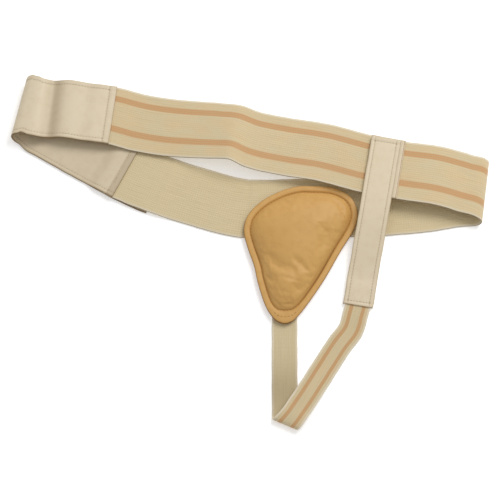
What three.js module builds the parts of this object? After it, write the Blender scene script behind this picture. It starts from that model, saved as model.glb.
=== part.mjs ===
// A one-sided inguinal hernia belt, lying closed on a flat surface.
//
// The waist belt is one strip of woven elastic. Its two ends meet in a panel of soft vinyl, sewn on at
// one end and held with a hook strip at the other. A stitched leather pad lies on the inner face of the
// lower layer. A narrow elastic runs from under the pad's tip, folds over, and goes up into a vinyl leg
// tab, which lies on a patch sewn to the outer face of the upper layer.
//
// Millimetres, +Z up, +X along the belt from the vinyl end. The origin is the middle of the underside.
import * as THREE from "three";

// Belt
const BELT_WIDTH = 61;
const WEBBING = 1.8; // thickness of the wide elastic
const LAY_LENGTH = 465; // from the left fold to the right fold, as it lies
const LEFT_FOLD_RADIUS = 7.5;
const RIGHT_FOLD_RADIUS = 6.5;
const LOFT = 11; // from the lowest to the highest wave of the upper layer

// Vinyl panel that closes the belt, measured along it from the left fold
const VINYL = 1.1; // thickness of one ply
const SEAM_FROM_FOLD = 101; // upper layer: end that is sewn to the elastic
const INNER_FLAP = 131; // lower layer: end of the ply next to the body
const OUTER_FLAP = 165; // lower layer: end of the ply away from the body
const FLAP_SKEW = 1.6; // the outer ply's end is pressed on this far towards the lower edge
const INSERT = 16; // elastic that is held between two plies
const HOOK_THICK = 0.9;
const HOOK_LENGTH = 30;
const HOOK_MARGIN = 4; // from the hook strip to the edges of its ply

// Pad
const PAD_WIDTH = 114;
const PAD_LENGTH = 140;
const PAD_THICK = 15;
const PAD_BACKING = 1.2;
const PAD_RIM = 3; // thickness of the flat rim outside the stitching
const PAD_RIM_WIDTH = 6.5;
const PAD_FROM_EDGE = 9; // from the elastic's upper edge to the pad's top
const PAD_PLACE = 0.6095; // share of the lay length from the left fold

// Leg strap
const LEG_WIDTH = 25;
const LEG_WEBBING = 1.6;
const LEG_DROP = 98.5; // from the pad's tip to the fold
const LEG_FOLD_RADIUS = 3;
const LEG_HIDDEN = 20; // sewn on under the pad's tip
const TAB_WIDTH = 29.5;
const TAB_LENGTH = 171;
const TAB_PLACE = 0.7825; // share of the lay length from the left fold
const TAB_INSET = 2; // from the belt's upper edge to the tab's end
const ANCHOR_WIDTH = 34;
const ANCHOR_SHIFT = 2.4; // the patch shows on the side away from the pad

const GAP = 0.3; // between two pieces that touch
const CLEARANCE = 0.6; // between the two layers of the belt
const EASE = 14; // length over which plies part or close

const STEP = 7; // longest facet along a strip
const BEND_STEPS = 8; // facets round a fold
const SHORTEST_CUT = 0.2; // two cuts are never closer than this
const PROBE = 0.5; // reach of a measurement of a route's direction
const SEARCH = 1; // step of a search along a route

// Where the plies lie, counted from the middle of the elastic
const WEBBING_FACE = WEBBING / 2;
const PLY_OVER_WEBBING = WEBBING_FACE + GAP;
const PLY_OVER_HOOK = PLY_OVER_WEBBING + HOOK_THICK + GAP;
const REST_ON_PLY = VINYL + GAP / 2;
const REST_ON_FLAP = VINYL + PLY_OVER_HOOK;
const STACK_TOP = REST_ON_FLAP + PLY_OVER_WEBBING + VINYL;
const UPPER_BASE = STACK_TOP + CLEARANCE;

// The lower layer from the left fold to the right one, with x and y as shares of the lay length from
// its middle, and lean as the slant in degrees of the strip's width from +Y
const LOWER = [
  { x: -0.45, y: 0.2785, lean: 20.5 },
  { x: -0.42, y: 0.2605, lean: 27.5 },
  { x: -0.389, y: 0.2425, lean: 30 },
  { x: -0.306, y: 0.1955, lean: 28.5 },
  { x: -0.27, y: 0.175, lean: 27.5 },
  { x: -0.2, y: 0.146, lean: 22 },
  { x: -0.112, y: 0.1175, lean: 15 },
  { x: -0.034, y: 0.0955, lean: 13.5 },
  { x: -0.01, y: 0.0915, lean: 7 },
  { x: 0.012, y: 0.0905, lean: 1 },
  { x: 0.12, y: 0.0925, lean: -1 },
  { x: 0.205, y: 0.0935, lean: -3 },
  { x: 0.284, y: 0.0965, lean: -5 },
  { x: 0.383, y: 0.106, lean: -5 },
  { x: 0.44, y: 0.1155, lean: 0 },
];

// The upper layer from the right fold back to the left one: rise is a share of the loft, and tip is
// how many degrees the strip's near edge is raised, where it isn't level
const UPPER = [
  { x: 0.463, y: 0.1385, lean: 11, rise: 0.61 },
  { x: 0.407, y: 0.1535, lean: 12, rise: 0.84 },
  { x: 0.322, y: 0.1675, lean: 10.3, rise: 0.75 },
  { x: 0.252, y: 0.1825, lean: 10.6, rise: 0.61 },
  { x: 0.154, y: 0.2105, lean: 12, rise: 0.43 },
  { x: 0.072, y: 0.2245, lean: 11.5, rise: 0.38 },
  { x: 0.004, y: 0.2385, lean: 11, rise: 0.61, tip: 3 },
  { x: -0.036, y: 0.253, lean: 8.5, rise: 0.88, tip: 7 },
  { x: -0.066, y: 0.2575, lean: 8, rise: 0.61, tip: 5 },
  { x: -0.121, y: 0.2635, lean: 6.5, rise: 0.25, tip: 2 },
  { x: -0.179, y: 0.27, lean: 7, rise: 0.05 },
  { x: -0.242, y: 0.281, lean: 8.5, rise: 0.06 },
  { x: -0.295, y: 0.294, lean: 7.2, rise: 0.29 },
  { x: -0.353, y: 0.301, lean: 6, rise: 0.52 },
  { x: -0.403, y: 0.308, lean: 5, rise: 0.6 },
  { x: -0.429, y: 0.3095, lean: 5, rise: 0.22 },
  { x: -0.459, y: 0.3105, lean: 9, rise: 0.78 },
];

// The folds at the outermost point of the strip's middle; skew is how many degrees the strip is off
// square to the fold
const LEFT_FOLD = { x: -0.4985, y: 0.3135, lean: 12.5, skew: 16 };
const RIGHT_FOLD = { x: 0.502, y: 0.123, lean: 8.5, skew: 15 };

// The pad's outline: across is a share of its width from the middle, down a share of its length
const PAD_OUTLINE = [
  { across: 0.09, down: 0 },
  { across: 0.3, down: 0.018 },
  { across: 0.438, down: 0.086 },
  { across: 0.49, down: 0.194 },
  { across: 0.468, down: 0.296 },
  { across: 0.333, down: 0.485 },
  { across: 0.188, down: 0.692 },
  { across: 0.026, down: 0.884 },
  { across: -0.04, down: 0.95 },
  { across: -0.085, down: 0.983 },
  { across: -0.15, down: 1 },
  { across: -0.213, down: 0.983 },
  { across: -0.256, down: 0.95 },
  { across: -0.308, down: 0.884 },
  { across: -0.38, down: 0.705 },
  { across: -0.411, down: 0.587 },
  { across: -0.468, down: 0.449 },
  { across: -0.5, down: 0.332 },
  { across: -0.47, down: 0.225 },
  { across: -0.36, down: 0.1225 },
  { across: -0.19, down: 0.042 },
  { across: -0.03, down: 0.003 },
];

// Fullest point of the pad, as shares of its width and length
const PAD_CROWN = { across: 0, down: 0.368 };

// Profile of the pad from its edge to its crown: inset is a share of the rim's width up to the
// stitching, fill a share of the way from there to the crown, rise a share of the rim or the dome
const PAD_RIM_PROFILE = [
  { inset: 0.0, rise: 0.75 },
  { inset: 0.2, rise: 1.0 },
  { inset: 0.8, rise: 1.0 },
  { inset: 1.0, rise: 0.7 },
];
const PAD_DOME_PROFILE = [
  { fill: 0.05, rise: 0.22 },
  { fill: 0.12, rise: 0.45 },
  { fill: 0.22, rise: 0.65 },
  { fill: 0.35, rise: 0.81 },
  { fill: 0.5, rise: 0.91 },
  { fill: 0.66, rise: 0.96 },
  { fill: 0.83, rise: 0.99 },
];
const PAD_SIDES = 72;

// Dents across the lower third: place, direction in degrees from +X, half length and half width as
// shares of the pad's length, and depth as a share of its thickness
const PAD_DENTS = [
  { across: -0.2, down: 0.585, turn: -28, long: 0.15, wide: 0.05, deep: 0.12 },
  { across: -0.03, down: 0.57, turn: -44, long: 0.12, wide: 0.035, deep: 0.05 },
];

// The leg elastic after its fold: along is a share of the way from the fold to the tab's end, bow a
// share of that way to the right, and rise a share of the fold's height
const LEG_RISE = [
  { along: 0.19, bow: 0.022, rise: 0.75, lean: -59 },
  { along: 0.35, bow: 0.026, rise: 0.42, lean: -59 },
  { along: 0.53, bow: 0.028, rise: 0.15, lean: -59 },
  { along: 0.7, bow: 0.032, rise: 0.04, lean: -59 },
  { along: 0.84, bow: 0.043, rise: 0.08, lean: -65 },
  { along: 0.95, bow: 0.014, rise: 0.2, lean: -74 },
];
const LEG_FOLD = { lean: -67, skew: -20 };

const COLOURS = {
  elastic: { color: 0xcdbe96, roughness: 0.95 },
  vinyl: { color: 0xd6c8a8, roughness: 0.55 },
  hook: { color: 0xc9bd9f, roughness: 0.9 },
  leather: { color: 0xc79a55, roughness: 0.6 },
};

const radians = THREE.MathUtils.degToRad;
const UP = new THREE.Vector3(0, 0, 1);

// 0 before a, 1 after b, and smooth between them
const ease = (value, a, b) => THREE.MathUtils.smoothstep(value, a, b);

// The direction of a strip's width, for its slant in degrees from +Y and for how far it dips
const widthAt = (lean, tip = 0) =>
  new THREE.Vector3(Math.sin(radians(lean)), Math.cos(radians(lean)), -Math.tan(radians(tip))).normalize();

// A line through stations, each a centre and the direction of the strip's width there. It is a cubic
// through both, on knots as far apart as the centres, and repeats if it is closed.
class Route {
  constructor(stations, closed, lift) {
    this.stations = stations;
    this.closed = closed;
    this.lift = (along) => lift(along, this);
    this.knots = [0];
    const spans = closed ? stations.length : stations.length - 1;
    for (let i = 0; i < spans; i++) {
      const gap = this.station(i).centre.distanceTo(this.station(i + 1).centre);
      this.knots.push(this.knots[i] + gap);
    }
    this.length = this.knots[spans];
  }

  station(i) {
    const n = this.stations.length;
    return this.stations[this.closed ? (i + n) % n : Math.min(Math.max(i, 0), n - 1)];
  }

  // The knot of station i, past the ends too
  knot(i) {
    const spans = this.knots.length - 1;
    if (this.closed) return this.knots[(i + spans) % spans] + Math.floor(i / spans) * this.length;
    return this.knots[Math.min(Math.max(i, 0), spans)];
  }

  // Rate of change of a column at station i
  slope(i, column) {
    const before = this.knot(i) - this.knot(i - 1);
    const after = this.knot(i + 1) - this.knot(i);
    const step = (from, to, size) =>
      this.station(to)[column].clone().sub(this.station(from)[column]).divideScalar(size);
    if (before === 0) return step(i, i + 1, after);
    if (after === 0) return step(i - 1, i, before);
    const first = step(i - 1, i, before).multiplyScalar(after);
    return first.add(step(i, i + 1, after).multiplyScalar(before)).divideScalar(before + after);
  }

  column(along, name) {
    const turns = this.closed ? Math.floor(along / this.length) : 0;
    const at = along - turns * this.length;
    let i = 0;
    while (i < this.knots.length - 2 && this.knots[i + 1] <= at) i++;
    const span = this.knots[i + 1] - this.knots[i];
    const t = (at - this.knots[i]) / span;
    const a = this.station(i)[name];
    const b = this.station(i + 1)[name];
    return new THREE.Vector3()
      .addScaledVector(a, 2 * t ** 3 - 3 * t ** 2 + 1)
      .addScaledVector(b, 3 * t ** 2 - 2 * t ** 3)
      .addScaledVector(this.slope(i, name), (t ** 3 - 2 * t ** 2 + t) * span)
      .addScaledVector(this.slope(i + 1, name), (t ** 3 - t ** 2) * span);
  }

  centre(along) {
    const point = this.column(along, "centre");
    point.z = Math.max(point.z, 0) + this.lift(along);
    return point;
  }

  // Centre, unit width, outward normal, and how much longer the slanting width is than the strip
  frame(along) {
    const centre = this.centre(along);
    const tangent = this.centre(along + PROBE).sub(this.centre(along - PROBE)).normalize();
    const width = this.column(along, "width").normalize();
    const outward = width.clone().cross(tangent);
    const reach = 1 / Math.max(outward.length(), 0.5);
    return { centre, tangent, width, outward: outward.normalize(), reach };
  }

  // The point that is across from the centre and out from the middle of the elastic
  point(along, across, out) {
    const { centre, width, outward, reach } = this.frame(along);
    return centre.addScaledVector(width, across * reach).addScaledVector(outward, out);
  }

  // Places to cut a strip: every knot, and between them no more than a step apart
  cuts(from, to) {
    const places = [from];
    const spans = this.knots.length - 1;
    const turns = this.closed ? Math.ceil(to / this.length) + 1 : 1;
    for (let i = this.closed ? -spans : 0; i < spans * turns; i++) {
      const start = Math.max(this.knot(i), from);
      const end = Math.min(this.knot(i + 1), to);
      const parts = Math.ceil((end - start) / STEP);
      for (let k = 1; k <= parts; k++) places.push(start + ((end - start) * k) / parts);
    }
    return places.filter((place, i) => i === 0 || place - places[i - 1] > SHORTEST_CUT);
  }
}

// Rings of points, each joined to the next, with both ends closed
function skin(rings, firstCap, lastCap) {
  const count = rings[0].length;
  const points = rings.flat();
  const faces = [];
  for (let r = 0; r + 1 < rings.length; r++) {
    for (let k = 0; k < count; k++) {
      const a = r * count + k;
      const b = r * count + ((k + 1) % count);
      faces.push(a, b + count, b, a, a + count, b + count);
    }
  }
  const close = (ring, apex, flip) => {
    const tip = points.length;
    points.push(apex);
    for (let k = 0; k < count; k++) {
      const a = ring * count + k;
      const b = ring * count + ((k + 1) % count);
      faces.push(...(flip ? [b, a, tip] : [a, b, tip]));
    }
  };
  close(0, firstCap, false);
  close(rings.length - 1, lastCap, true);
  const geometry = new THREE.BufferGeometry();
  geometry.setAttribute(
    "position",
    new THREE.Float32BufferAttribute(points.flatMap((p) => p.toArray()), 3),
  );
  geometry.setIndex(faces);
  return geometry;
}

const middle = (ring) =>
  ring.reduce((sum, p) => sum.add(p), new THREE.Vector3()).divideScalar(ring.length);

// A strip along a route between two places. Its edges, across it, and its faces, out from the middle
// of the elastic, are functions of the place.
function strip(route, { from, to, edges, faces }) {
  const rings = route.cuts(from, to).map((along) => {
    const [low, high] = edges(along);
    const [inside, outside] = faces(along);
    return [
      route.point(along, low, inside),
      route.point(along, high, inside),
      route.point(along, high, outside),
      route.point(along, low, outside),
    ];
  });
  return skin(rings, middle(rings[0]), middle(rings[rings.length - 1]));
}

const evenly = (width) => [-width / 2, width / 2];

// Stations round half a turn about a fold, from its lower end to its upper one. The centre is that of
// the fold's outermost line, which lies on the side that is 1 or -1.
function foldStations({ centre, lean, skew, radius, side }) {
  const width = widthAt(lean);
  const out = new THREE.Vector3(width.y, -width.x, 0).multiplyScalar(side);
  const advance = Math.PI * radius * Math.tan(radians(skew));
  const stations = [];
  for (let k = 0; k <= BEND_STEPS; k++) {
    const turn = Math.PI * (k / BEND_STEPS - 0.5);
    const point = centre
      .clone()
      .addScaledVector(out, radius * (Math.cos(turn) - 1))
      .addScaledVector(width, (advance * turn) / Math.PI)
      .addScaledVector(UP, radius * (1 + Math.sin(turn)));
    stations.push({ centre: point, width });
  }
  return stations;
}

const onTable = ({ x, y }) => new THREE.Vector3(x * LAY_LENGTH, y * LAY_LENGTH, 0);

// Height of the middle of the elastic above the floor, with the plies that lie under it
function restHeight(place, { length }) {
  const along = THREE.MathUtils.euclideanModulo(place, length);
  const partsAt = INNER_FLAP - INSERT;
  const over = ease(along, partsAt - EASE, partsAt) * (REST_ON_FLAP - REST_ON_PLY);
  const off = ease(along, OUTER_FLAP, OUTER_FLAP + 2 * EASE) * (REST_ON_FLAP - WEBBING_FACE);
  const back = ease(along, length - SEAM_FROM_FOLD, length) * (REST_ON_PLY - WEBBING_FACE);
  return REST_ON_PLY + over - off + back;
}

// The belt's route: from the left fold along the lower layer, round the right fold and back
function beltRoute() {
  const fold = (row, radius, side) => foldStations({ ...row, centre: onTable(row), radius, side });
  const left = fold(LEFT_FOLD, LEFT_FOLD_RADIUS, -1);
  const right = fold(RIGHT_FOLD, RIGHT_FOLD_RADIUS, 1);
  const lower = LOWER.map((row) => ({ centre: onTable(row), width: widthAt(row.lean) }));
  const upper = UPPER.map((row) => ({
    centre: onTable(row).setZ(UPPER_BASE + row.rise * LOFT),
    width: widthAt(row.lean, row.tip),
  }));
  const tip = BEND_STEPS / 2;
  const down = left.slice(0, tip + 1).reverse();
  const rising = left.slice(tip + 1).reverse();
  return new Route([...down, ...lower, ...right, ...upper, ...rising], true, restHeight);
}

// The place along the belt's upper or lower layer whose centre is at x
function placeAtX(route, x, upper) {
  let best = 0;
  const half = route.length / 2;
  for (let along = upper ? half : 0; along < (upper ? route.length : half); along += SEARCH) {
    if (Math.abs(route.centre(along).x - x) < Math.abs(route.centre(best).x - x)) best = along;
  }
  return best;
}

const material = (name, finish) => new THREE.MeshStandardMaterial({ name, metalness: 0, ...finish });

const MATERIALS = Object.fromEntries(
  Object.entries(COLOURS).map(([name, finish]) => [name, material(name, finish)]),
);

function piece(name, geometry, finish) {
  geometry.computeVertexNormals();
  const mesh = new THREE.Mesh(geometry, MATERIALS[finish]);
  mesh.name = name;
  return mesh;
}

// The wide elastic, with both its ends held between plies of the vinyl panel
function beltWebbing(route) {
  return strip(route, {
    from: INNER_FLAP - INSERT,
    to: route.length - SEAM_FROM_FOLD + INSERT,
    edges: () => evenly(BELT_WIDTH),
    faces: () => [-WEBBING_FACE, WEBBING_FACE],
  });
}

// How far the panel's plies are from the middle: apart over the elastic, closed round the fold
function plyParting(along, length, atHook) {
  const sewn = 1 - ease(along, length - SEAM_FROM_FOLD + INSERT, length - SEAM_FROM_FOLD + INSERT + EASE);
  const held = ease(along, length + INNER_FLAP - INSERT - EASE, length + INNER_FLAP - INSERT);
  const closed = GAP / 2;
  return closed + (PLY_OVER_WEBBING - closed) * sewn + (atHook - closed) * held;
}

function closurePly(route, { to, atHook, side }) {
  const { length } = route;
  const skewed = (along) => FLAP_SKEW * ease(along, length + INNER_FLAP, length + OUTER_FLAP);
  return strip(route, {
    from: length - SEAM_FROM_FOLD,
    to: length + to,
    edges: (along) => evenly(BELT_WIDTH).map((edge) => edge - skewed(along)),
    faces: (along) => {
      const near = plyParting(along, length, atHook);
      return side > 0 ? [near, near + VINYL] : [-near - VINYL, -near];
    },
  });
}

function hookStrip(route) {
  const end = OUTER_FLAP - HOOK_MARGIN;
  return strip(route, {
    from: end - HOOK_LENGTH,
    to: end,
    edges: () => evenly(BELT_WIDTH - 2 * HOOK_MARGIN),
    faces: () => [PLY_OVER_WEBBING, PLY_OVER_WEBBING + HOOK_THICK],
  });
}

// The pad's frame on the table: its top middle and the direction down its length
function padFrame(belt) {
  const x = (PAD_PLACE - 0.5) * LAY_LENGTH;
  const along = placeAtX(belt, x, false);
  const top = belt.point(along, BELT_WIDTH / 2 - PAD_FROM_EDGE, 0);
  const base = Math.max(WEBBING, LEG_WEBBING) + GAP;
  const place = ({ across, down }) =>
    new THREE.Vector3(x + across * PAD_WIDTH, top.y - down * PAD_LENGTH, base);
  return { base, place };
}

// The pad's outline, moved inwards by a distance
function padRing(frame, inset) {
  const curve = new THREE.CatmullRomCurve3(PAD_OUTLINE.map(frame.place), true, "centripetal");
  const ring = [];
  for (let k = 0; k < PAD_SIDES; k++) {
    const share = k / PAD_SIDES;
    const tangent = curve.getTangentAt(share);
    const inward = new THREE.Vector3(tangent.y, -tangent.x, 0);
    ring.push(curve.getPointAt(share).addScaledVector(inward.normalize(), inset));
  }
  return ring;
}

// How deep the dents are at a point of the pad
function dentDepth(frame, point) {
  let depth = 0;
  for (const dent of PAD_DENTS) {
    const from = point.clone().sub(frame.place(dent)).setZ(0);
    const along = new THREE.Vector3(Math.cos(radians(dent.turn)), Math.sin(radians(dent.turn)), 0);
    const a = from.dot(along) / (dent.long * PAD_LENGTH);
    const b = from.cross(along).length() / (dent.wide * PAD_LENGTH);
    depth += dent.deep * PAD_THICK * Math.exp(-a * a - b * b);
  }
  return depth;
}

function padBacking(frame) {
  const low = padRing(frame, 0);
  const high = low.map((p) => p.clone().setZ(frame.base + PAD_BACKING));
  return skin([low, high], middle(low), middle(high));
}

// The stuffed pad: a flat rim, a stitched groove and a dome that thins towards the tip
function padCushion(frame) {
  const floor = frame.base + PAD_BACKING + GAP;
  const edge = padRing(frame, 0).map((p) => p.setZ(floor));
  const stitched = padRing(frame, PAD_RIM_WIDTH);
  const crown = frame.place(PAD_CROWN);
  const rim = PAD_RIM_PROFILE.map(({ inset, rise }) =>
    padRing(frame, inset * PAD_RIM_WIDTH).map((p) => p.setZ(floor + rise * PAD_RIM)),
  );
  const domeBase = floor + PAD_RIM * PAD_RIM_PROFILE.at(-1).rise;
  const dome = PAD_DOME_PROFILE.map(({ fill, rise }) =>
    stitched.map((p) => {
      const point = p.clone().lerp(crown, fill);
      const height = (PAD_THICK + floor - domeBase) * rise;
      return point.setZ(domeBase + height - dentDepth(frame, point) * rise);
    }),
  );
  return skin([edge, ...rim, ...dome], middle(edge), crown.clone().setZ(floor + PAD_THICK));
}

// The patch that is sewn to the belt's outer face, under the leg tab
function legAnchor(belt, place) {
  const start = place - ANCHOR_SHIFT - ANCHOR_WIDTH / 2;
  const near = PLY_OVER_WEBBING;
  return strip(belt, {
    from: start,
    to: start + ANCHOR_WIDTH,
    edges: () => evenly(BELT_WIDTH),
    faces: () => [near, near + VINYL],
  });
}

// The leg tab and the leg elastic have one route, from the tab's top down to the end under the pad.
// Its heights are above the elastic's middle where that lies on the floor.
function legRoute(belt, place, pad) {
  const rest = LEG_WEBBING / 2;
  const { width, outward } = belt.frame(place);
  const leftward = outward.clone().cross(width);
  const top = BELT_WIDTH / 2 - TAB_INSET;
  const overPatch = PLY_OVER_WEBBING + VINYL + GAP + VINYL + GAP / 2;
  const onBelt = [0, 0.25, 0.5, 0.75, 1].map((share) => {
    const across = THREE.MathUtils.lerp(top, -BELT_WIDTH / 2, share);
    const centre = belt.point(place, across, overPatch).addScaledVector(UP, -rest);
    return { centre, width: leftward };
  });
  const edge = onBelt.at(-1).centre;
  const below = TAB_LENGTH - top - BELT_WIDTH / 2;
  const level = leftward.clone().setZ(0).normalize();
  const falling = [0.2, 0.45, 0.75, 1].map((share) => {
    const centre = edge.clone().addScaledVector(width, -share * below);
    return { centre: centre.setZ(THREE.MathUtils.lerp(edge.z, GAP + VINYL, ease(share, 0, 1))), width: level };
  });
  const tabEnd = falling.at(-1).centre.clone().setZ(0);
  const tip = pad.place(PAD_OUTLINE.find(({ down }) => down === 1)).setZ(0);
  const bend = tip.clone().add(new THREE.Vector3(0, -LEG_DROP, 0));
  const fold = foldStations({ ...LEG_FOLD, centre: bend, radius: LEG_FOLD_RADIUS, side: -1 });
  const way = tabEnd.sub(bend);
  const beside = new THREE.Vector3(way.y, -way.x, 0);
  const rising = LEG_RISE.map(({ along, bow, rise, lean }) => {
    const centre = bend.clone().addScaledVector(way, along).addScaledVector(beside, bow);
    return { centre: centre.setZ(rise * 2 * LEG_FOLD_RADIUS), width: widthAt(lean) };
  });
  const lowest = fold[0].centre;
  const square = widthAt(-90);
  const run = [0.35, 0.7, 1].map((share) => ({ centre: lowest.clone().lerp(tip, share), width: square }));
  const hidden = { centre: tip.clone().setY(tip.y + LEG_HIDDEN), width: square };
  const stations = [...onBelt, ...falling, ...rising.reverse(), ...fold.reverse(), ...run, hidden];
  return new Route(stations, false, () => rest);
}

// Half the thickness of the leg tab where it holds the elastic, from its middle
const TAB_PLY = LEG_WEBBING / 2 + GAP;

function tabPly(route, side) {
  return strip(route, {
    from: 0,
    to: TAB_LENGTH,
    edges: () => evenly(TAB_WIDTH),
    faces: (along) => {
      const held = ease(along, TAB_LENGTH - INSERT - EASE, TAB_LENGTH - INSERT);
      const near = GAP / 2 + (TAB_PLY - GAP / 2) * held;
      return side > 0 ? [near, near + VINYL] : [-near - VINYL, -near];
    },
  });
}

function legWebbing(route) {
  return strip(route, {
    from: TAB_LENGTH - INSERT,
    to: route.length,
    edges: () => evenly(LEG_WIDTH),
    faces: () => [-LEG_WEBBING / 2, LEG_WEBBING / 2],
  });
}

function herniaBelt() {
  const belt = beltRoute();
  const pad = padFrame(belt);
  const tabPlace = placeAtX(belt, (TAB_PLACE - 0.5) * LAY_LENGTH, true);
  const leg = legRoute(belt, tabPlace, pad);
  const group = new THREE.Group();
  group.name = "hernia_belt";
  group.add(
    piece("belt_webbing", beltWebbing(belt), "elastic"),
    piece("closure_outer", closurePly(belt, { to: OUTER_FLAP, atHook: PLY_OVER_HOOK, side: 1 }), "vinyl"),
    piece("closure_inner", closurePly(belt, { to: INNER_FLAP, atHook: PLY_OVER_WEBBING, side: -1 }), "vinyl"),
    piece("hook_strip", hookStrip(belt), "hook"),
    piece("pad_backing", padBacking(pad), "leather"),
    piece("pad_cushion", padCushion(pad), "leather"),
    piece("leg_anchor", legAnchor(belt, tabPlace), "vinyl"),
    piece("leg_tab_front", tabPly(leg, 1), "vinyl"),
    piece("leg_tab_back", tabPly(leg, -1), "vinyl"),
    piece("leg_webbing", legWebbing(leg), "elastic"),
  );
  const box = new THREE.Box3().setFromObject(group);
  const foot = box.getCenter(new THREE.Vector3()).setZ(box.min.z);
  group.children.forEach((mesh) => mesh.position.sub(foot));
  return group;
}

const model = herniaBelt();

export default model;
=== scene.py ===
"""Looks of a one-sided hernia belt that lies closed on a pale floor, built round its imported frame.

Sizes are millimetres, as in the part's source; meshes are in metres.
"""

import logging
import math
from collections.abc import Callable
from dataclasses import dataclass, field
from enum import Enum
from typing import Any, NamedTuple

import bpy
import numpy as np
from bpy.types import Material, Mesh, Node, NodeSocket, NodeTree, Object
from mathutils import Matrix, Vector, noise
from mathutils.bvhtree import BVHTree

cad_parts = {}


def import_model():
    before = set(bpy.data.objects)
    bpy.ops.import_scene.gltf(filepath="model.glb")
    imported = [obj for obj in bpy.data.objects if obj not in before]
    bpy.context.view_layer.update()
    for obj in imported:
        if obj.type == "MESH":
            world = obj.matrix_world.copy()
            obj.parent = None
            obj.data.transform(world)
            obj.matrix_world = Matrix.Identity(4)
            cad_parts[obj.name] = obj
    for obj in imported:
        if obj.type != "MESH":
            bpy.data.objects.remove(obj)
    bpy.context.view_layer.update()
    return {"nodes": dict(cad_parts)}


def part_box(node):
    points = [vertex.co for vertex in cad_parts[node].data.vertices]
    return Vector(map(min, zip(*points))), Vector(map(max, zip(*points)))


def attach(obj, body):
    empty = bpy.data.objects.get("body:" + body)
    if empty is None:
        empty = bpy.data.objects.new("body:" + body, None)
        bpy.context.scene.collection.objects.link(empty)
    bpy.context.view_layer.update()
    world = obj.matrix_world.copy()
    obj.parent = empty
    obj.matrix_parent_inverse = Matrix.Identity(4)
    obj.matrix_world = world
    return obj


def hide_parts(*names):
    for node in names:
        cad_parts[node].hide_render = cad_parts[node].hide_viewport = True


LOG = logging.getLogger("hernia_belt")
BODY = "root"
MM = 0.001

# Belt
BELT_WIDTH = 61.0
HALF_BELT = BELT_WIDTH / 2
WEBBING = 1.8
LAY_LENGTH = 465.0
LEFT_FOLD_RADIUS = 7.5
RIGHT_FOLD_RADIUS = 6.5
LOFT = 11.0

# Creases across the lower layer, from the middle of the lay
BELT_CREASES = (-89.6, -3.0)
CREASE_WIDTH = 2.6
CREASE_DEPTH = 0.5

# Vinyl closing panel, measured along it from the left fold
VINYL = 1.1
SEAM_FROM_FOLD = 101.0
INNER_FLAP = 131.0
OUTER_FLAP = 165.0
FLAP_SKEW = 1.6
INSERT = 16.0
HOOK_THICK = 0.9
VALLEY = 40.5
VALLEY_WIDTH = 7.5

# How dark the panel is: painted shade in its valley, darker on the band where the inner ply ends, and
# painted shade over that whole ply, which lies under the upper layer
VALLEY_SHADE = 0.36
BAND_DARK = 0.24
INNER_PLY_SHADE = 0.12

# Seams: stitches from an edge and an end, hems from an end, and how deep the thread sinks
EDGE_STITCH = 4.2
END_STITCH = 1.5
HEM = 6.5
TAB_HEM = 4.0
SUNK = 0.12
TAB_SUNK = 0.1

# Relief of sewn vinyl: width of a sewn groove, the puff beside it, waves, and the flat at a cut end
GROOVE_WIDTH = 0.7
PUFF = 0.12
PUFF_WIDTH = 1.2
WAVES = 0.12
FLAT_END = 3.0

# Pad, with the height of the groove that it is sewn in
PAD_WIDTH = 114.0
PAD_LENGTH = 140.0
PAD_THICK = 15.0
PAD_BACKING = 1.2
PAD_RIM = 3.0
PAD_RIM_WIDTH = 6.5
PAD_GROOVE = 0.7 * PAD_RIM
PAD_FROM_EDGE = 9.0
PAD_PLACE = 0.6095

# Leg strap
LEG_WIDTH = 25.0
LEG_WEBBING = 1.6
LEG_DROP = 98.5
LEG_FOLD_RADIUS = 3.0
LEG_HIDDEN = 20.0
TAB_WIDTH = 29.5
TAB_LENGTH = 171.0
TAB_PLACE = 0.7825
TAB_INSET = 2.0
ANCHOR_WIDTH = 34.0
ANCHOR_SHIFT = 2.4
PATCH_SEAM = 1.0

# Where the plain face of the leg elastic is darkest, below the pad's tip, and how dark
LEG_DARKEST = 66.0
LEG_DARK_REACH = 27.0
LEG_DARK = 0.42

# Gap between pieces, free space between layers, length of a smooth change, and steps of a fold
GAP = 0.3
CLEARANCE = 0.6
EASE = 14.0
BEND_STEPS = 8

# Where the plies lie, counted from the middle of the elastic
WEBBING_FACE = WEBBING / 2
PLY_OVER_WEBBING = WEBBING_FACE + GAP
PLY_OVER_HOOK = PLY_OVER_WEBBING + HOOK_THICK + GAP
REST_ON_PLY = VINYL + GAP / 2
REST_ON_FLAP = VINYL + PLY_OVER_HOOK
UPPER_BASE = REST_ON_FLAP + PLY_OVER_WEBBING + VINYL + CLEARANCE


class Lay(NamedTuple):
    """Where a strip lies: x and y as shares of the lay length, lean and tip in degrees."""

    x: float
    y: float
    lean: float
    rise: float = 0.0
    tip: float = 0.0


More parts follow.
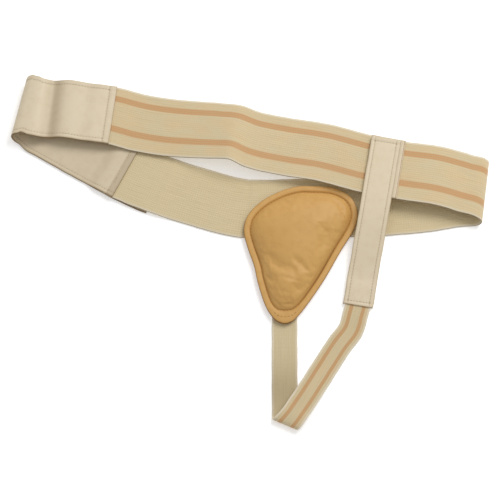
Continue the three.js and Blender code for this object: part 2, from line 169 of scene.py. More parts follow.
LOWER = (
    Lay(-0.45, 0.2785, 20.5),
    Lay(-0.42, 0.2605, 27.5),
    Lay(-0.389, 0.2425, 30),
    Lay(-0.306, 0.1955, 28.5),
    Lay(-0.27, 0.175, 27.5),
    Lay(-0.2, 0.146, 22),
    Lay(-0.112, 0.1175, 15),
    Lay(-0.034, 0.0955, 13.5),
    Lay(-0.01, 0.0915, 7),
    Lay(0.012, 0.0905, 1),
    Lay(0.12, 0.0925, -1),
    Lay(0.205, 0.0935, -3),
    Lay(0.284, 0.0965, -5),
    Lay(0.383, 0.106, -5),
    Lay(0.44, 0.1155, 0),
)
UPPER = (
    Lay(0.463, 0.1385, 11, 0.61),
    Lay(0.407, 0.1535, 12, 0.84),
    Lay(0.322, 0.1675, 10.3, 0.75),
    Lay(0.252, 0.1825, 10.6, 0.61),
    Lay(0.154, 0.2105, 12, 0.43),
    Lay(0.072, 0.2245, 11.5, 0.38),
    Lay(0.004, 0.2385, 11, 0.61, 3),
    Lay(-0.036, 0.253, 8.5, 0.88, 7),
    Lay(-0.066, 0.2575, 8, 0.61, 5),
    Lay(-0.121, 0.2635, 6.5, 0.25, 2),
    Lay(-0.179, 0.27, 7, 0.05),
    Lay(-0.242, 0.281, 8.5, 0.06),
    Lay(-0.295, 0.294, 7.2, 0.29),
    Lay(-0.353, 0.301, 6, 0.52),
    Lay(-0.403, 0.308, 5, 0.6),
    Lay(-0.429, 0.3095, 5, 0.22),
    Lay(-0.459, 0.3105, 9, 0.78),
)
LEFT_FOLD = Lay(-0.4985, 0.3135, 12.5)
LEFT_SKEW = 16.0
RIGHT_FOLD = Lay(0.502, 0.123, 8.5)
RIGHT_SKEW = 15.0


class Spot(NamedTuple):
    """A point of the pad: across from its middle and down from its top, as shares of its size."""

    across: float
    down: float


PAD_OUTLINE = (
    Spot(0.09, 0),
    Spot(0.3, 0.018),
    Spot(0.438, 0.086),
    Spot(0.49, 0.194),
    Spot(0.468, 0.296),
    Spot(0.333, 0.485),
    Spot(0.188, 0.692),
    Spot(0.026, 0.884),
    Spot(-0.04, 0.95),
    Spot(-0.085, 0.983),
    Spot(-0.15, 1),
    Spot(-0.213, 0.983),
    Spot(-0.256, 0.95),
    Spot(-0.308, 0.884),
    Spot(-0.38, 0.705),
    Spot(-0.411, 0.587),
    Spot(-0.468, 0.449),
    Spot(-0.5, 0.332),
    Spot(-0.47, 0.225),
    Spot(-0.36, 0.1225),
    Spot(-0.19, 0.042),
    Spot(-0.03, 0.003),
)
PAD_TIP = Spot(-0.15, 1)
PAD_CROWN = Spot(0, 0.368)

# The groove's soil all round, and places where it is darker: spot, how dark, reach
PAD_SOILED = 0.14
PAD_SOIL = ((Spot(0.22, 0.66), 0.62, 42.0), (Spot(-0.4, 0.6), 0.3, 34.0))

# At the tip: reach and place of the second seam, and how far the rim turns to +Y and widens
TIP_SEAM = 13.5
TIP_SEAM_SHARE = 0.47
TIP_REACH = 18.0
TIP_RIM = 1.05
TIP_RIM_REACH = 15.0


class Rise(NamedTuple):
    """A point of the pad's profile: a share of the way in, and a share of the height."""

    inwards: float
    rise: float


PAD_DOME_PROFILE = (
    Rise(0, 0),
    Rise(0.05, 0.22),
    Rise(0.12, 0.45),
    Rise(0.22, 0.65),
    Rise(0.35, 0.81),
    Rise(0.5, 0.91),
    Rise(0.66, 0.96),
    Rise(0.83, 0.99),
    Rise(1, 1),
)


class Dent(NamedTuple):
    """A dent in the pad: place, turn in degrees, size as shares of its length, depth of its height."""

    across: float
    down: float
    turn: float
    long: float
    wide: float
    deep: float


PAD_DENTS = (
    Dent(-0.2, 0.585, -28, 0.15, 0.05, 0.12),
    Dent(-0.03, 0.57, -44, 0.12, 0.035, 0.05),
)
PAD_CREASES = (
    Dent(-0.085, 0.7, -14, 0.1, 0.011, 0.05),
    Dent(-0.28, 0.67, -62, 0.07, 0.022, 0.05),
    Dent(-0.2, 0.61, -30, 0.08, 0.012, 0.035),
    Dent(-0.13, 0.79, -20, 0.06, 0.009, 0.03),
    Dent(-0.01, 0.6, -46, 0.08, 0.014, 0.018),
)


class RimStep(NamedTuple):
    """A ring of the pad's rim: inset, share of its width, height, wear, and share of the soil."""

    inset: float
    share: float
    height: float
    marks_and_shade: float
    grime_and_shade: float = 0.0


RIM_STEPS = (
    RimStep(0.9, 0, 0, 0.5),
    RimStep(0.15, 0, 0.1, 0.7),
    RimStep(0, 0, 0.5, 0.8),
    RimStep(0, 0, 1.35, 0.9),
    RimStep(0, 0, 2.3, 0.75),
    RimStep(0.25, 0, 2.85, 0.35),
    RimStep(0.9, 0, PAD_RIM, 0.05),
    *(RimStep(0, k, PAD_RIM + 0.25 * math.sin(math.pi * k), 0) for k in (0.25, 0.4, 0.55, 0.7)),
    RimStep(0, 0.82, PAD_RIM - 0.05, 0.05),
    RimStep(0, 0.93, PAD_RIM - 0.75, 0, 0.8),
    RimStep(0, 1, PAD_GROOVE - 0.45, 0, 1),
)


class Hemming(NamedTuple):
    """How vinyl is sewn: relief of its hem, groove and waves, and how dark its edges and seams are, a
    near edge darker than the far one being painted shade.
    """

    hem: float
    slope: float
    high: float
    deep: float
    wide: float
    groove: float
    waves: float
    seed: float
    near_grime_and_shade: float
    far_soil: float
    end_soil: float
    hem_soil: float


# The panel's near edge: a dark cut edge with painted shade, darker than the far one
PANEL_SEWN = Hemming(
    hem=HEM, slope=1.5, high=0.35, deep=0.25, wide=0.8, groove=0.28, waves=0.04, seed=9.0,
    near_grime_and_shade=1.0, far_soil=0.4, end_soil=0.5, hem_soil=0.2,
)
TAB_SEWN = Hemming(
    hem=TAB_HEM, slope=1.4, high=0.3, deep=0.2, wide=0.7, groove=0.25, waves=0.05, seed=5.0,
    near_grime_and_shade=0.5, far_soil=0.5, end_soil=0.25, hem_soil=0.15,
)


class Turn(NamedTuple):
    """The leg elastic past its fold: shares of the way to the tab, to its right, and of the height."""

    along: float
    bow: float
    rise: float
    lean: float


LEG_RISE = (
    Turn(0.19, 0.022, 0.75, -59),
    Turn(0.35, 0.026, 0.42, -59),
    Turn(0.53, 0.028, 0.15, -59),
    Turn(0.7, 0.032, 0.04, -59),
    Turn(0.84, 0.043, 0.08, -65),
    Turn(0.95, 0.014, 0.2, -74),
)
LEG_FOLD_LEAN = -67.0
LEG_FOLD_SKEW = -20.0


class Face(Enum):
    """Which face of a strip: away from the body or next to it."""

    OUTER = 1
    INNER = -1


class Held(Enum):
    """How a sheet of cloth is held."""

    FOLDED = "folded"
    LAID = "laid"


def ease(value: float, start: float, end: float) -> float:
    """Gives 0 before start, 1 after end, and a smooth value between them."""
    share = min(max((value - start) / (end - start), 0.0), 1.0)
    return share * share * (3 - 2 * share)


def ridge(distance: np.ndarray | float, width: float) -> np.ndarray | float:
    """Gives 1 at no distance, falling to nothing over a width or two."""
    return np.exp(-((distance / width) ** 2))


def unit(vector: np.ndarray) -> np.ndarray:
    """Gives the vector at length 1."""
    return vector / np.linalg.norm(vector)


def width_at(lean: float, tip: float = 0.0) -> np.ndarray:
    """Gives the direction of a strip's width.

    Args:
        lean: slant in degrees from +Y.
        tip: how many degrees the near edge is raised.

    Returns:
        A unit vector.
    """
    angle = math.radians(lean)
    return unit(np.array([math.sin(angle), math.cos(angle), -math.tan(math.radians(tip))]))


def on_table(row: Lay, height: float = 0.0) -> np.ndarray:
    """Gives the point where a row of a table lies, at a height."""
    return np.array([row.x * LAY_LENGTH, row.y * LAY_LENGTH, height])


def wander(point: float, other: float, seed: float) -> float:
    """Gives smooth unevenness from -1 to 1 at a place, the same in each run."""
    return noise.noise(Vector((point, other, seed)))


Station = tuple[np.ndarray, np.ndarray]


class Route:
    """A line through stations, each a centre and the direction of the strip's width there."""

    def __init__(self, stations: list[Station], closed: bool, lift: Callable[[float, float], float]):
        """Measures the knots.

        Args:
            stations: centre and width of each.
            closed: whether the last is followed by the first.
            lift: height to add at a place, from the place and the route's length.
        """
        self.rows = [np.array([s[0] for s in stations]), np.array([s[1] for s in stations])]
        self.count = len(stations)
        self.closed = closed
        self.lift = lift
        self.spans = self.count if closed else self.count - 1
        self.knots = [0.0]
        for i in range(self.spans):
            gap = self.station(0, i + 1) - self.station(0, i)
            self.knots.append(self.knots[i] + float(np.linalg.norm(gap)))
        self.length = self.knots[-1]

    def station(self, row: int, i: int) -> np.ndarray:
        """Gives a station's centre (row 0) or width (row 1), past the ends too."""
        return self.rows[row][i % self.count if self.closed else min(max(i, 0), self.count - 1)]

    def knot(self, i: int) -> float:
        """Gives how far along station i is.

        Args:
            i: number of the station.

        Returns:
            The place.
        """
        if self.closed:
            return self.knots[i % self.spans] + (i // self.spans) * self.length
        return self.knots[min(max(i, 0), self.spans)]

    def slope(self, row: int, i: int) -> np.ndarray:
        """Gives the rate of change of a row at station i.

        Args:
            row: 0 for the centre, 1 for the width.
            i: number of the station.

        Returns:
            The rate a millimetre.
        """
        before = self.knot(i) - self.knot(i - 1)
        after = self.knot(i + 1) - self.knot(i)
        if before == 0:
            return (self.station(row, i + 1) - self.station(row, i)) / after
        back = (self.station(row, i) - self.station(row, i - 1)) / before
        if after == 0:
            return back
        ahead = (self.station(row, i + 1) - self.station(row, i)) / after
        return (back * after + ahead * before) / (before + after)

    def value(self, along: float, row: int) -> np.ndarray:
        """Gives a row's value at a place, by a cubic through the stations.

        Args:
            along: place along the route.
            row: 0 for the centre, 1 for the width.

        Returns:
            The value.
        """
        turns = math.floor(along / self.length) if self.closed else 0
        at = along - turns * self.length
        i = int(np.searchsorted(self.knots, at, side="right")) - 1
        i = min(max(i, 0), self.spans - 1)
        span = self.knots[i + 1] - self.knots[i]
        t = (at - self.knots[i]) / span
        return (
            self.station(row, i) * (2 * t**3 - 3 * t**2 + 1)
            + self.station(row, i + 1) * (3 * t**2 - 2 * t**3)
            + self.slope(row, i) * (t**3 - 2 * t**2 + t) * span
            + self.slope(row, i + 1) * (t**3 - t**2) * span
        )

    def centre(self, along: float) -> np.ndarray:
        """Gives the middle of the strip at a place.

        Args:
            along: place along the route.

        Returns:
            The point.
        """
        point = self.value(along, 0).copy()
        point[2] = max(point[2], 0.0) + self.lift(along, self.length)
        return point

    def frame(self, along: float) -> tuple[np.ndarray, np.ndarray, np.ndarray]:
        """Gives the strip's own axes at a place.

        Args:
            along: place along the route.

        Returns:
            The centre, the width as long as the slant makes it, and the outward normal.
        """
        small = 0.5
        tangent = unit(self.centre(along + small) - self.centre(along - small))
        width = unit(self.value(along, 1))
        outward = np.cross(width, tangent)
        reach = 1 / max(float(np.linalg.norm(outward)), 0.5)
        return self.centre(along), width * reach, unit(outward)

    def point(self, along: float, across: float, out: float) -> np.ndarray:
        """Gives the point across from the centre and out from the middle of the elastic."""
        centre, width, outward = self.frame(along)
        return centre + width * across + outward * out

    def place_at_x(self, x: float, upper: bool) -> float:
        """Gives the whole millimetre along the upper or the lower half whose centre is nearest to x.

        Args:
            x: in the table's frame.
            upper: which half.

        Returns:
            The place.
        """
        half = self.length / 2
        count = math.ceil(self.length - half if upper else half)
        places = [0.0] + [(half if upper else 0.0) + k for k in range(count)]
        return min(places, key=lambda along: abs(self.centre(along)[0] - x))


def fold_stations(
    centre: np.ndarray, lean: float, skew: float, radius: float, side: int
) -> list[Station]:
    """Gives stations round half a turn about a fold, from its lower end to its upper one.

    Args:
        centre: outermost point of the strip's middle, at the floor.
        lean: slant of the fold in degrees.
        skew: how many degrees the strip is off square to the fold.
        radius: radius of the strip's middle.
        side: 1 where the fold is on the right, -1 on the left.

    Returns:
        The stations.
    """
    width = width_at(lean)
    out = np.array([width[1], -width[0], 0.0]) * side
    advance = math.pi * radius * math.tan(math.radians(skew))
    stations = []
    for k in range(BEND_STEPS + 1):
        turn = math.pi * (k / BEND_STEPS - 0.5)
        point = centre + out * radius * (math.cos(turn) - 1) + width * advance * turn / math.pi
        stations.append((point + np.array([0, 0, radius * (1 + math.sin(turn))]), width))
    return stations


def rest_height(place: float, length: float) -> float:
    """Gives the height of the middle of the elastic above the floor, over the plies under it.

    Args:
        place: place along the route.
        length: the route's length.

    Returns:
        The height.
    """
    along = place % length
    parts_at = INNER_FLAP - INSERT
    over = ease(along, parts_at - EASE, parts_at) * (REST_ON_FLAP - REST_ON_PLY)
    off = ease(along, OUTER_FLAP, OUTER_FLAP + 2 * EASE) * (REST_ON_FLAP - WEBBING_FACE)
    back = ease(along, length - SEAM_FROM_FOLD, length) * (REST_ON_PLY - WEBBING_FACE)
    return REST_ON_PLY + over - off + back


def belt_route() -> Route:
    """Gives the waist belt's route: from the left fold along the lower layer, round and back.

    Returns:
        The route.
    """
    left = fold_stations(on_table(LEFT_FOLD), LEFT_FOLD.lean, LEFT_SKEW, LEFT_FOLD_RADIUS, -1)
    right = fold_stations(on_table(RIGHT_FOLD), RIGHT_FOLD.lean, RIGHT_SKEW, RIGHT_FOLD_RADIUS, 1)
    lower = [(on_table(row), width_at(row.lean)) for row in LOWER]
    upper = [(on_table(row, UPPER_BASE + row.rise * LOFT), width_at(row.lean, row.tip)) for row in UPPER]
    tip = BEND_STEPS // 2
    down = left[: tip + 1][::-1]
    rising = left[tip + 1 :][::-1]
    return Route([*down, *lower, *right, *upper, *rising], True, rest_height)


def link(name: str, mesh: Mesh, material: Material | None = None) -> Object:
    """Puts a mesh in the scene as an object at the origin, with a material.

    Args:
        name: its name.
        mesh: its mesh.
        material: its finish.

    Returns:
        The object.
    """
    obj = bpy.data.objects.new(name, mesh)
    bpy.context.scene.collection.objects.link(obj)
    if material:
        mesh.materials.append(material)
    return obj


def to_mesh(name: str, points: np.ndarray, faces: list[tuple[int, ...]], **values: np.ndarray) -> Mesh:
    """Makes a smooth mesh.

    Args:
        name: name of the mesh.
        points: one row a vertex, in metres.
        faces: indices of each face's corners.
        values: point attributes by name, one number a vertex.

    Returns:
        The mesh.
    """
    mesh = bpy.data.meshes.new(name)
    mesh.from_pydata([tuple(p) for p in points], [], faces)
    for key, numbers in values.items():
        attribute = mesh.attributes.new(key, "FLOAT", "POINT")
        attribute.data.foreach_set("value", np.asarray(numbers, dtype=np.float32))
    mesh.polygons.foreach_set("use_smooth", [True] * len(mesh.polygons))
    mesh.update()
    return mesh


def dress(obj: Object, slot: str, *nodes: str) -> None:
    """Lets a piece ride on the only body, and hides the nodes it stands for.

    Args:
        obj: the piece.
        slot: not used.
        nodes: the nodes.
    """
    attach(obj, BODY)
    if nodes:
        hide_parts(*nodes)
    LOG.info("%s: %d faces, for %s", obj.name, len(obj.data.polygons), ", ".join(nodes) or "no node")


class Value:
    """A number in a shader. Its operators add Math nodes."""

    def __init__(self, shader: "Shader", socket: NodeSocket):
        """Wraps a socket of a shader's node."""
        self.shader = shader
        self.socket = socket

    def math(self, operation: str, *others: "Value | float", swap: bool = False) -> "Value":
        """Adds a Math node.

        Args:
            operation: the node's operation.
            others: its further values.
            swap: whether this value comes second.

        Returns:
            The result.
        """
        values = [self, *others][::-1] if swap else [self, *others]
        made = self.shader.node("ShaderNodeMath", dict(enumerate(values)), operation=operation)
        return Value(self.shader, made.outputs[0])

    def __add__(self, other: "Value | float") -> "Value":
        """Adds."""
        return self.math("ADD", other)

    def __sub__(self, other: "Value | float") -> "Value":
        """Takes away."""
        return self.math("SUBTRACT", other)

    def __rsub__(self, other: float) -> "Value":
        """Takes this away from a number."""
        return self.math("SUBTRACT", other, swap=True)

    def __mul__(self, other: "Value | float") -> "Value":
        """Multiplies."""
        return self.math("MULTIPLY", other)

    __radd__ = __add__
    __rmul__ = __mul__

    def above(self, edge: float, soft: float) -> "Value":
        """Gives 1 above an edge and 0 below it, softly.

        Args:
            edge: where it changes.
            soft: half of the change's width.

        Returns:
            The result.
        """
        values = {"Value": self, "From Min": edge - soft, "From Max": edge + soft}
        made = self.shader.node("ShaderNodeMapRange", values, interpolation_type="SMOOTHSTEP")
        return Value(self.shader, made.outputs[0])

    def wave(self, pitch: float) -> "Value":
        """Gives a wave from 0 to 1 that repeats after a pitch."""
        return (self * (2 * math.pi / pitch)).math("SINE") * 0.5 + 0.5


class Tree:
    """A tree of nodes."""

    tree: NodeTree

    def feed(self, socket: NodeSocket, value: Any) -> None:
        """Sets a socket, or links a value to it.

        Args:
            socket: the socket.
            value: a value, a socket, a number or a colour.
        """
        value = value.socket if isinstance(value, Value) else value
        if isinstance(value, NodeSocket):
            self.tree.links.new(value, socket)
        else:
            socket.default_value = value

    def node(self, kind: str, values: dict[Any, Any], **settings: str) -> Node:
        """Adds a node.

        Args:
            kind: type of the node.
            values: value or link of each socket, by name or number.
            settings: its own settings, which are made first.

        Returns:
            The node.
        """
        made = self.tree.nodes.new(kind)
        for key, value in settings.items():
            setattr(made, key, value)
        for key, value in values.items():
            self.feed(made.inputs[key], value)
        return made


class Shader(Tree):
    """One material's nodes, round a Principled shader."""

    def __init__(self, name: str):
        """Makes the material."""
        self.material = bpy.data.materials.new(name)
        self.material.use_nodes = True
        self.tree = self.material.node_tree
        self.tree.nodes.clear()
        self.principled = self.node("ShaderNodeBsdfPrincipled", {})
        self.node("ShaderNodeOutputMaterial", {0: self.principled.outputs[0]})

    def attribute(self, name: str) -> Value:
        """Gives a point attribute of the piece."""
        return Value(self, self.node("ShaderNodeAttribute", {}, attribute_name=name).outputs["Fac"])

    def place(self) -> NodeSocket:
        """Gives the place on the piece, in metres."""
        return self.node("ShaderNodeTexCoord", {}).outputs["Object"]

    def speckle(self, scale: float, detail: float, vector: NodeSocket) -> Value:
        """Gives noise from 0 to 1, scale times a metre."""
        values = {"Vector": vector, "Scale": scale, "Detail": detail}
        return Value(self, self.node("ShaderNodeTexNoise", values).outputs[0])

    def cells(self, scale: float, vector: NodeSocket) -> Value:
        """Gives the distance to the nearest cell's middle, as on grained leather."""
        made = self.node("ShaderNodeTexVoronoi", {"Vector": vector, "Scale": scale})
        return Value(self, made.outputs["Distance"])

    def stretched(self, x: Value, y: Value, scale_x: float, scale_y: float) -> NodeSocket:
        """Gives a vector from two values, each times its own scale."""
        return self.node("ShaderNodeCombineXYZ", {"X": x * scale_x, "Y": y * scale_y}).outputs[0]

    def blend(self, factor: Value, first: Any, second: Any) -> NodeSocket:
        """Mixes two colours by a factor."""
        return self.node("ShaderNodeMix", {0: factor, 6: first, 7: second}, data_type="RGBA").outputs[2]

    def bump(self, height: Value, distance: float, strength: float) -> None:
        """Gives the surface a relief of a depth in metres."""
        values = {"Height": height, "Distance": distance, "Strength": strength}
        made = self.node("ShaderNodeBump", values)
        self.feed(self.principled.inputs["Normal"], made.outputs[0])

    def finish(self, colour: Any, roughness: Any, **constants: float) -> Material:
        """Sets the colour, the roughness and the shader's own constants.

        Args:
            colour: socket or colour.
            roughness: value or number.
            constants: further sockets by name, with _ for a space.

        Returns:
            The material.
        """
        for key, value in {"Base_Color": colour, "Roughness": roughness, **constants}.items():
            self.feed(self.principled.inputs[key.replace("_", " ")], value)
        return self.material


Colour = tuple[float, float, float, float]


def tone(red: int, green: int, blue: int) -> Colour:
    """Gives a shader's colour for one seen on a screen, from 0 to 255."""
    return (*((c / 255) ** 2.2 for c in (red, green, blue)), 1.0)


@dataclass(frozen=True)
class ElasticFinish:
    """Ribbed woven elastic, with stripes on its outer face and a pale selvage on both."""

    name: str
    width: float
    stripes: tuple[tuple[float, float], tuple[float, float]]
    rib: float = 2.2
    pick: float = 2.3
    selvage: float = 1.9
    ground: Colour = tone(217, 201, 163)
    ground_warm: Colour = tone(222, 198, 157)
    inside: Colour = tone(219, 202, 163)
    stripe: Colour = tone(202, 149, 100)
    edge: Colour = tone(233, 222, 199)
    # Colour of the belt elastic's painted shadow along its near edge, and of the leg elastic's darker
    # patch
    grime_and_shade: Colour = tone(132, 114, 82)
    shade: Colour = tone(170, 148, 108)

    def material(self) -> Material:
        """Makes the material from the piece's own along, across and outer attributes.

        Returns:
            The material.
        """
        s = Shader(self.name)
        along = s.attribute("along")
        across = s.attribute("across")
        outer = s.attribute("outer")
        share = 0.5 - across * (1 / self.width)
        ribs = across.wave(self.rib)
        picks = (along + ribs * (self.pick / 2)).wave(self.pick)
        knit = ribs * 0.45 + picks * 0.55
        fuzz = s.speckle(1.0, 3.0, s.stretched(along, across, 0.9, 0.9))
        clouds = s.speckle(1.0, 2.0, s.stretched(along, across, 0.035, 0.07))
        yarn = s.speckle(1.0, 1.0, s.stretched(along, across, 0.03, 1.1))
        ground = s.blend(clouds.above(0.5, 0.25), self.ground, self.ground_warm)
        ground = s.blend(1 - outer, ground, self.inside)
        ground = s.blend(yarn.above(0.58, 0.12) * 0.16, ground, self.shade)
        soft = 0.006
        far, near = (share.above(a, soft) * (1 - share.above(b, soft)) for a, b in self.stripes)
        colour = s.blend((far + near) * outer * (knit * 0.85 + 0.4), ground, self.stripe)
        reach = across.math("ABSOLUTE")
        colour = s.blend(reach.above(self.width / 2 - self.selvage, 0.35) * 0.9, colour, self.edge)
        colour = s.blend(s.attribute("worn"), colour, self.grime_and_shade)
        colour = s.blend((1 - knit) * 0.36 + fuzz.above(0.6, 0.1) * 0.12, colour, self.shade)
        s.bump(knit + fuzz * 0.5, 0.00035, 0.55)
        return s.finish(colour, 0.92, Sheen_Weight=0.25, Sheen_Roughness=0.6, Specular_IOR_Level=0.2)


@dataclass(frozen=True)
class HideFinish:
    """Vinyl leathercloth or leather: grain, faint creases and soft variation of its colour."""

    name: str
    colour: Colour
    deep: Colour
    bright: Colour
    # Colour of worn places, and on the vinyl of painted shade too, mixed in by a point attribute
    worn: Colour
    grain: float
    grain_depth: float
    roughness: float

    def material(self) -> Material:
        """Makes the material on Object coordinates.

        Returns:
            The material.
        """
        s = Shader(self.name)
        place = s.place()
        clouds = s.speckle(22.0, 2.0, place)
        mottle = s.speckle(160.0, 4.0, place)
        cells = s.cells(self.grain, place)
        pores = s.speckle(self.grain * 2.3, 2.0, place)
        colour = s.blend(clouds.above(0.5, 0.2) * 0.6, self.colour, self.bright)
        colour = s.blend(mottle.above(0.57, 0.15) * 0.35, colour, self.deep)
        colour = s.blend((1 - cells.above(0.25, 0.3)) * 0.08, colour, self.deep)
        colour = s.blend(s.attribute("worn"), colour, self.worn)
        s.bump(cells + pores * 0.6 + mottle * 1.2, self.grain_depth, 0.5)
        roughness = mottle * 0.16 + (self.roughness - 0.08)
        return s.finish(colour, roughness, Specular_IOR_Level=0.4)


@dataclass(frozen=True)
class HookFinish:
    """Tape set with small nylon hooks, as a relief on Object coordinates."""

    name: str
    colour: Colour
    deep: Colour
    hooks: float = 700.0
    depth: float = 0.0004

    def material(self) -> Material:
        """Makes the material.

        Returns:
            The material.
        """
        s = Shader(self.name)
        place = s.place()
        cells = s.cells(self.hooks, place)
        mottle = s.speckle(120.0, 2.0, place)
        colour = s.blend(cells.above(0.45, 0.2), self.colour, self.deep)
        colour = s.blend(mottle.above(0.6, 0.15) * 0.3, colour, self.deep)
        s.bump(1 - cells, self.depth, 0.8)
        return s.finish(colour, 0.6)


@dataclass(frozen=True)
class ThreadFinish:
    """Twisted sewing thread."""

    name: str
    colour: Colour

    def material(self) -> Material:
        """Makes the material, with a fine mottle.

        Returns:
            The material.
        """
        s = Shader(self.name)
        mottle = s.speckle(900.0, 2.0, s.place())
        darker = tuple(0.6 * c for c in self.colour[:3]) + (1.0,)
        colour = s.blend(mottle.above(0.5, 0.2), self.colour, darker)
        s.bump(mottle, 0.0001, 0.5)
        return s.finish(colour, 0.75)


SOFT_VINYL = HideFinish(
    "soft_vinyl",
    tone(216, 200, 171),
    tone(207, 189, 158),
    tone(220, 205, 177),
    worn=tone(128, 104, 70),
    grain=1100.0,
    grain_depth=0.00005,
    roughness=0.5,
)
TAN_LEATHER = HideFinish(
    "tan_leather",
    tone(200, 154, 88),
    tone(190, 142, 79),
    tone(206, 161, 94),
    worn=tone(122, 74, 30),
    grain=1500.0,
    grain_depth=0.00006,
    roughness=0.52,
)


def made(finish: ElasticFinish | HideFinish | HookFinish | ThreadFinish) -> Material:
    """Declares a material, made from its finish when the others are."""
    return field(default_factory=finish.material)


STRIPES = ((0.155, 0.25), (0.668, 0.775))
LEG_STRIPES = ((0.2, 0.34), (0.68, 0.81))


@dataclass
class Finishes:
    """Every material of the belt."""

    elastic: Material = made(ElasticFinish("striped_elastic", BELT_WIDTH, STRIPES))
    leg_elastic: Material = made(ElasticFinish("narrow_elastic", LEG_WIDTH, LEG_STRIPES, 1.0, 1.3))
    hook: Material = made(HookFinish("hook_tape", tone(176, 160, 128), tone(120, 104, 76)))
    vinyl: Material = made(SOFT_VINYL)
    leather: Material = made(TAN_LEATHER)
    vinyl_thread: Material = made(ThreadFinish("beige_thread", tone(192, 172, 138)))
    pad_thread: Material = made(ThreadFinish("brown_thread", tone(172, 122, 64)))
    dark_thread: Material = made(ThreadFinish("taupe_thread", tone(140, 118, 86)))
    rust_thread: Material = made(ThreadFinish("rust_thread", tone(172, 118, 72)))


Relief = Callable[[float, np.ndarray, Face], np.ndarray]


def plain(along: float, across: np.ndarray, face: Face) -> np.ndarray:
    """Gives no relief."""
    return np.zeros_like(across)


def cuts(start: float, end: float, step: float, edge: float) -> np.ndarray:
    """Gives where a strip is cut from one border to the other, closer together at both.

    Args:
        start: first border.
        end: last border.
        step: from cut to cut between them.
        edge: width of the rounded border.

    Returns:
        The places.
    """
    inset = edge * np.array([0.0, 0.12, 0.4])
    middle = np.linspace(start + edge, end - edge, math.ceil((end - start) / step))
    return np.concatenate([start + inset, middle, (end - inset)[::-1]])


def ring_faces(rings: int, size: int) -> list[tuple[int, ...]]:
    """Gives the faces between rings of one size, each ring closed.

    Args:
        rings: how many.
        size: points in each.

    Returns:
        Indices of each face's corners.
    """
    faces = []
    for r in range(rings - 1):
        for k in range(size):
            a, b = r * size + k, r * size + (k + 1) % size
            faces.append((a, a + size, b + size, b))
    return faces


@dataclass
class Ribbon:
    """A flat strip of cloth along a route, as one closed skin with rounded edges."""

    name: str
    route: Route
    start: float
    end: float
    width: float
    faces: Callable[[float], tuple[float, float]]
    relief: Relief = plain
    # How dark each point is, for wear and for painted shade
    marks_and_shade: Relief = plain
    slide: Callable[[float], float] = lambda along: 0.0
    step: float = 2.0
    pitch: float = 2.0
    edge: float = 0.7
    ragged: float = 0.25

    def rim_share(self, distance: np.ndarray) -> np.ndarray:
        """Gives the share of the thickness that is left at a distance from an edge."""
        near = np.clip(1 - np.asarray(distance) / self.edge, 0.0, 1.0)
        return np.maximum(np.sqrt(1 - near**2), 0.3)

    def build(self, shift: np.ndarray, material: Material) -> Object:
        """Makes the strip.

        Args:
            shift: from the table's frame to the part's.
            material: its finish.

        Returns:
            The object.
        """
        half = self.width / 2
        section = cuts(-half, half, self.pitch, self.edge)
        places = cuts(self.start, self.end, self.step, self.edge)
        size = len(section)
        points, alongs, acrosses, outers, worn = [], [], [], [], []
        for along in places:
            centre, width, outward = self.route.frame(along)
            low, high = self.faces(along)
            middle, thick = (low + high) / 2, (high - low) / 2
            ends = self.rim_share(min(along - self.start, self.end - along))
            share = self.rim_share(half - np.abs(section)) * ends
            frayed = 1 + self.ragged * wander(along * 0.09, 0.0, self.width) / half
            line = section * frayed + self.slide(along)
            inner = middle - thick * share - self.relief(along, section, Face.INNER)
            outer = middle + thick * share + self.relief(along, section, Face.OUTER)
            for values, across in ((inner, line), (outer[::-1], line[::-1])):
                points.append(centre + np.outer(across, width) + np.outer(values, outward))
            alongs += [along] * (2 * size)
            acrosses += [*section, *section[::-1]]
            outers += [0.0] * size + [1.0] * size
            worn += [*self.marks_and_shade(along, section, Face.INNER)]
            worn += [*self.marks_and_shade(along, section, Face.OUTER)[::-1]]
        ring = 2 * size
        faces = ring_faces(len(places), ring)
        last = (len(places) - 1) * ring
        for k in range(size - 1):
            quad = (k, k + 1, ring - 2 - k, ring - 1 - k)
            faces += [quad, tuple(last + i for i in quad[::-1])]
        values = {"along": alongs, "across": acrosses, "outer": outers, "worn": worn}
        mesh = to_mesh(self.name, (np.concatenate(points) + shift) * MM, faces, **values)
        return link(self.name, mesh, material)

    def sheet(
        self, shift: np.ndarray, material: Material, slot: str, node: str, held: Held, **under: list[str]
    ) -> None:
        """Args:
            shift: from the table's frame to the part's.
            material: its finish.
            slot: the record's slot.
            node: the node that it stands for.
            held: not used.
            under: not used.
        """
        obj = self.build(shift, material)
        dress(obj, slot, node)
        flat = (self.width * MM, (self.end - self.start) * MM)


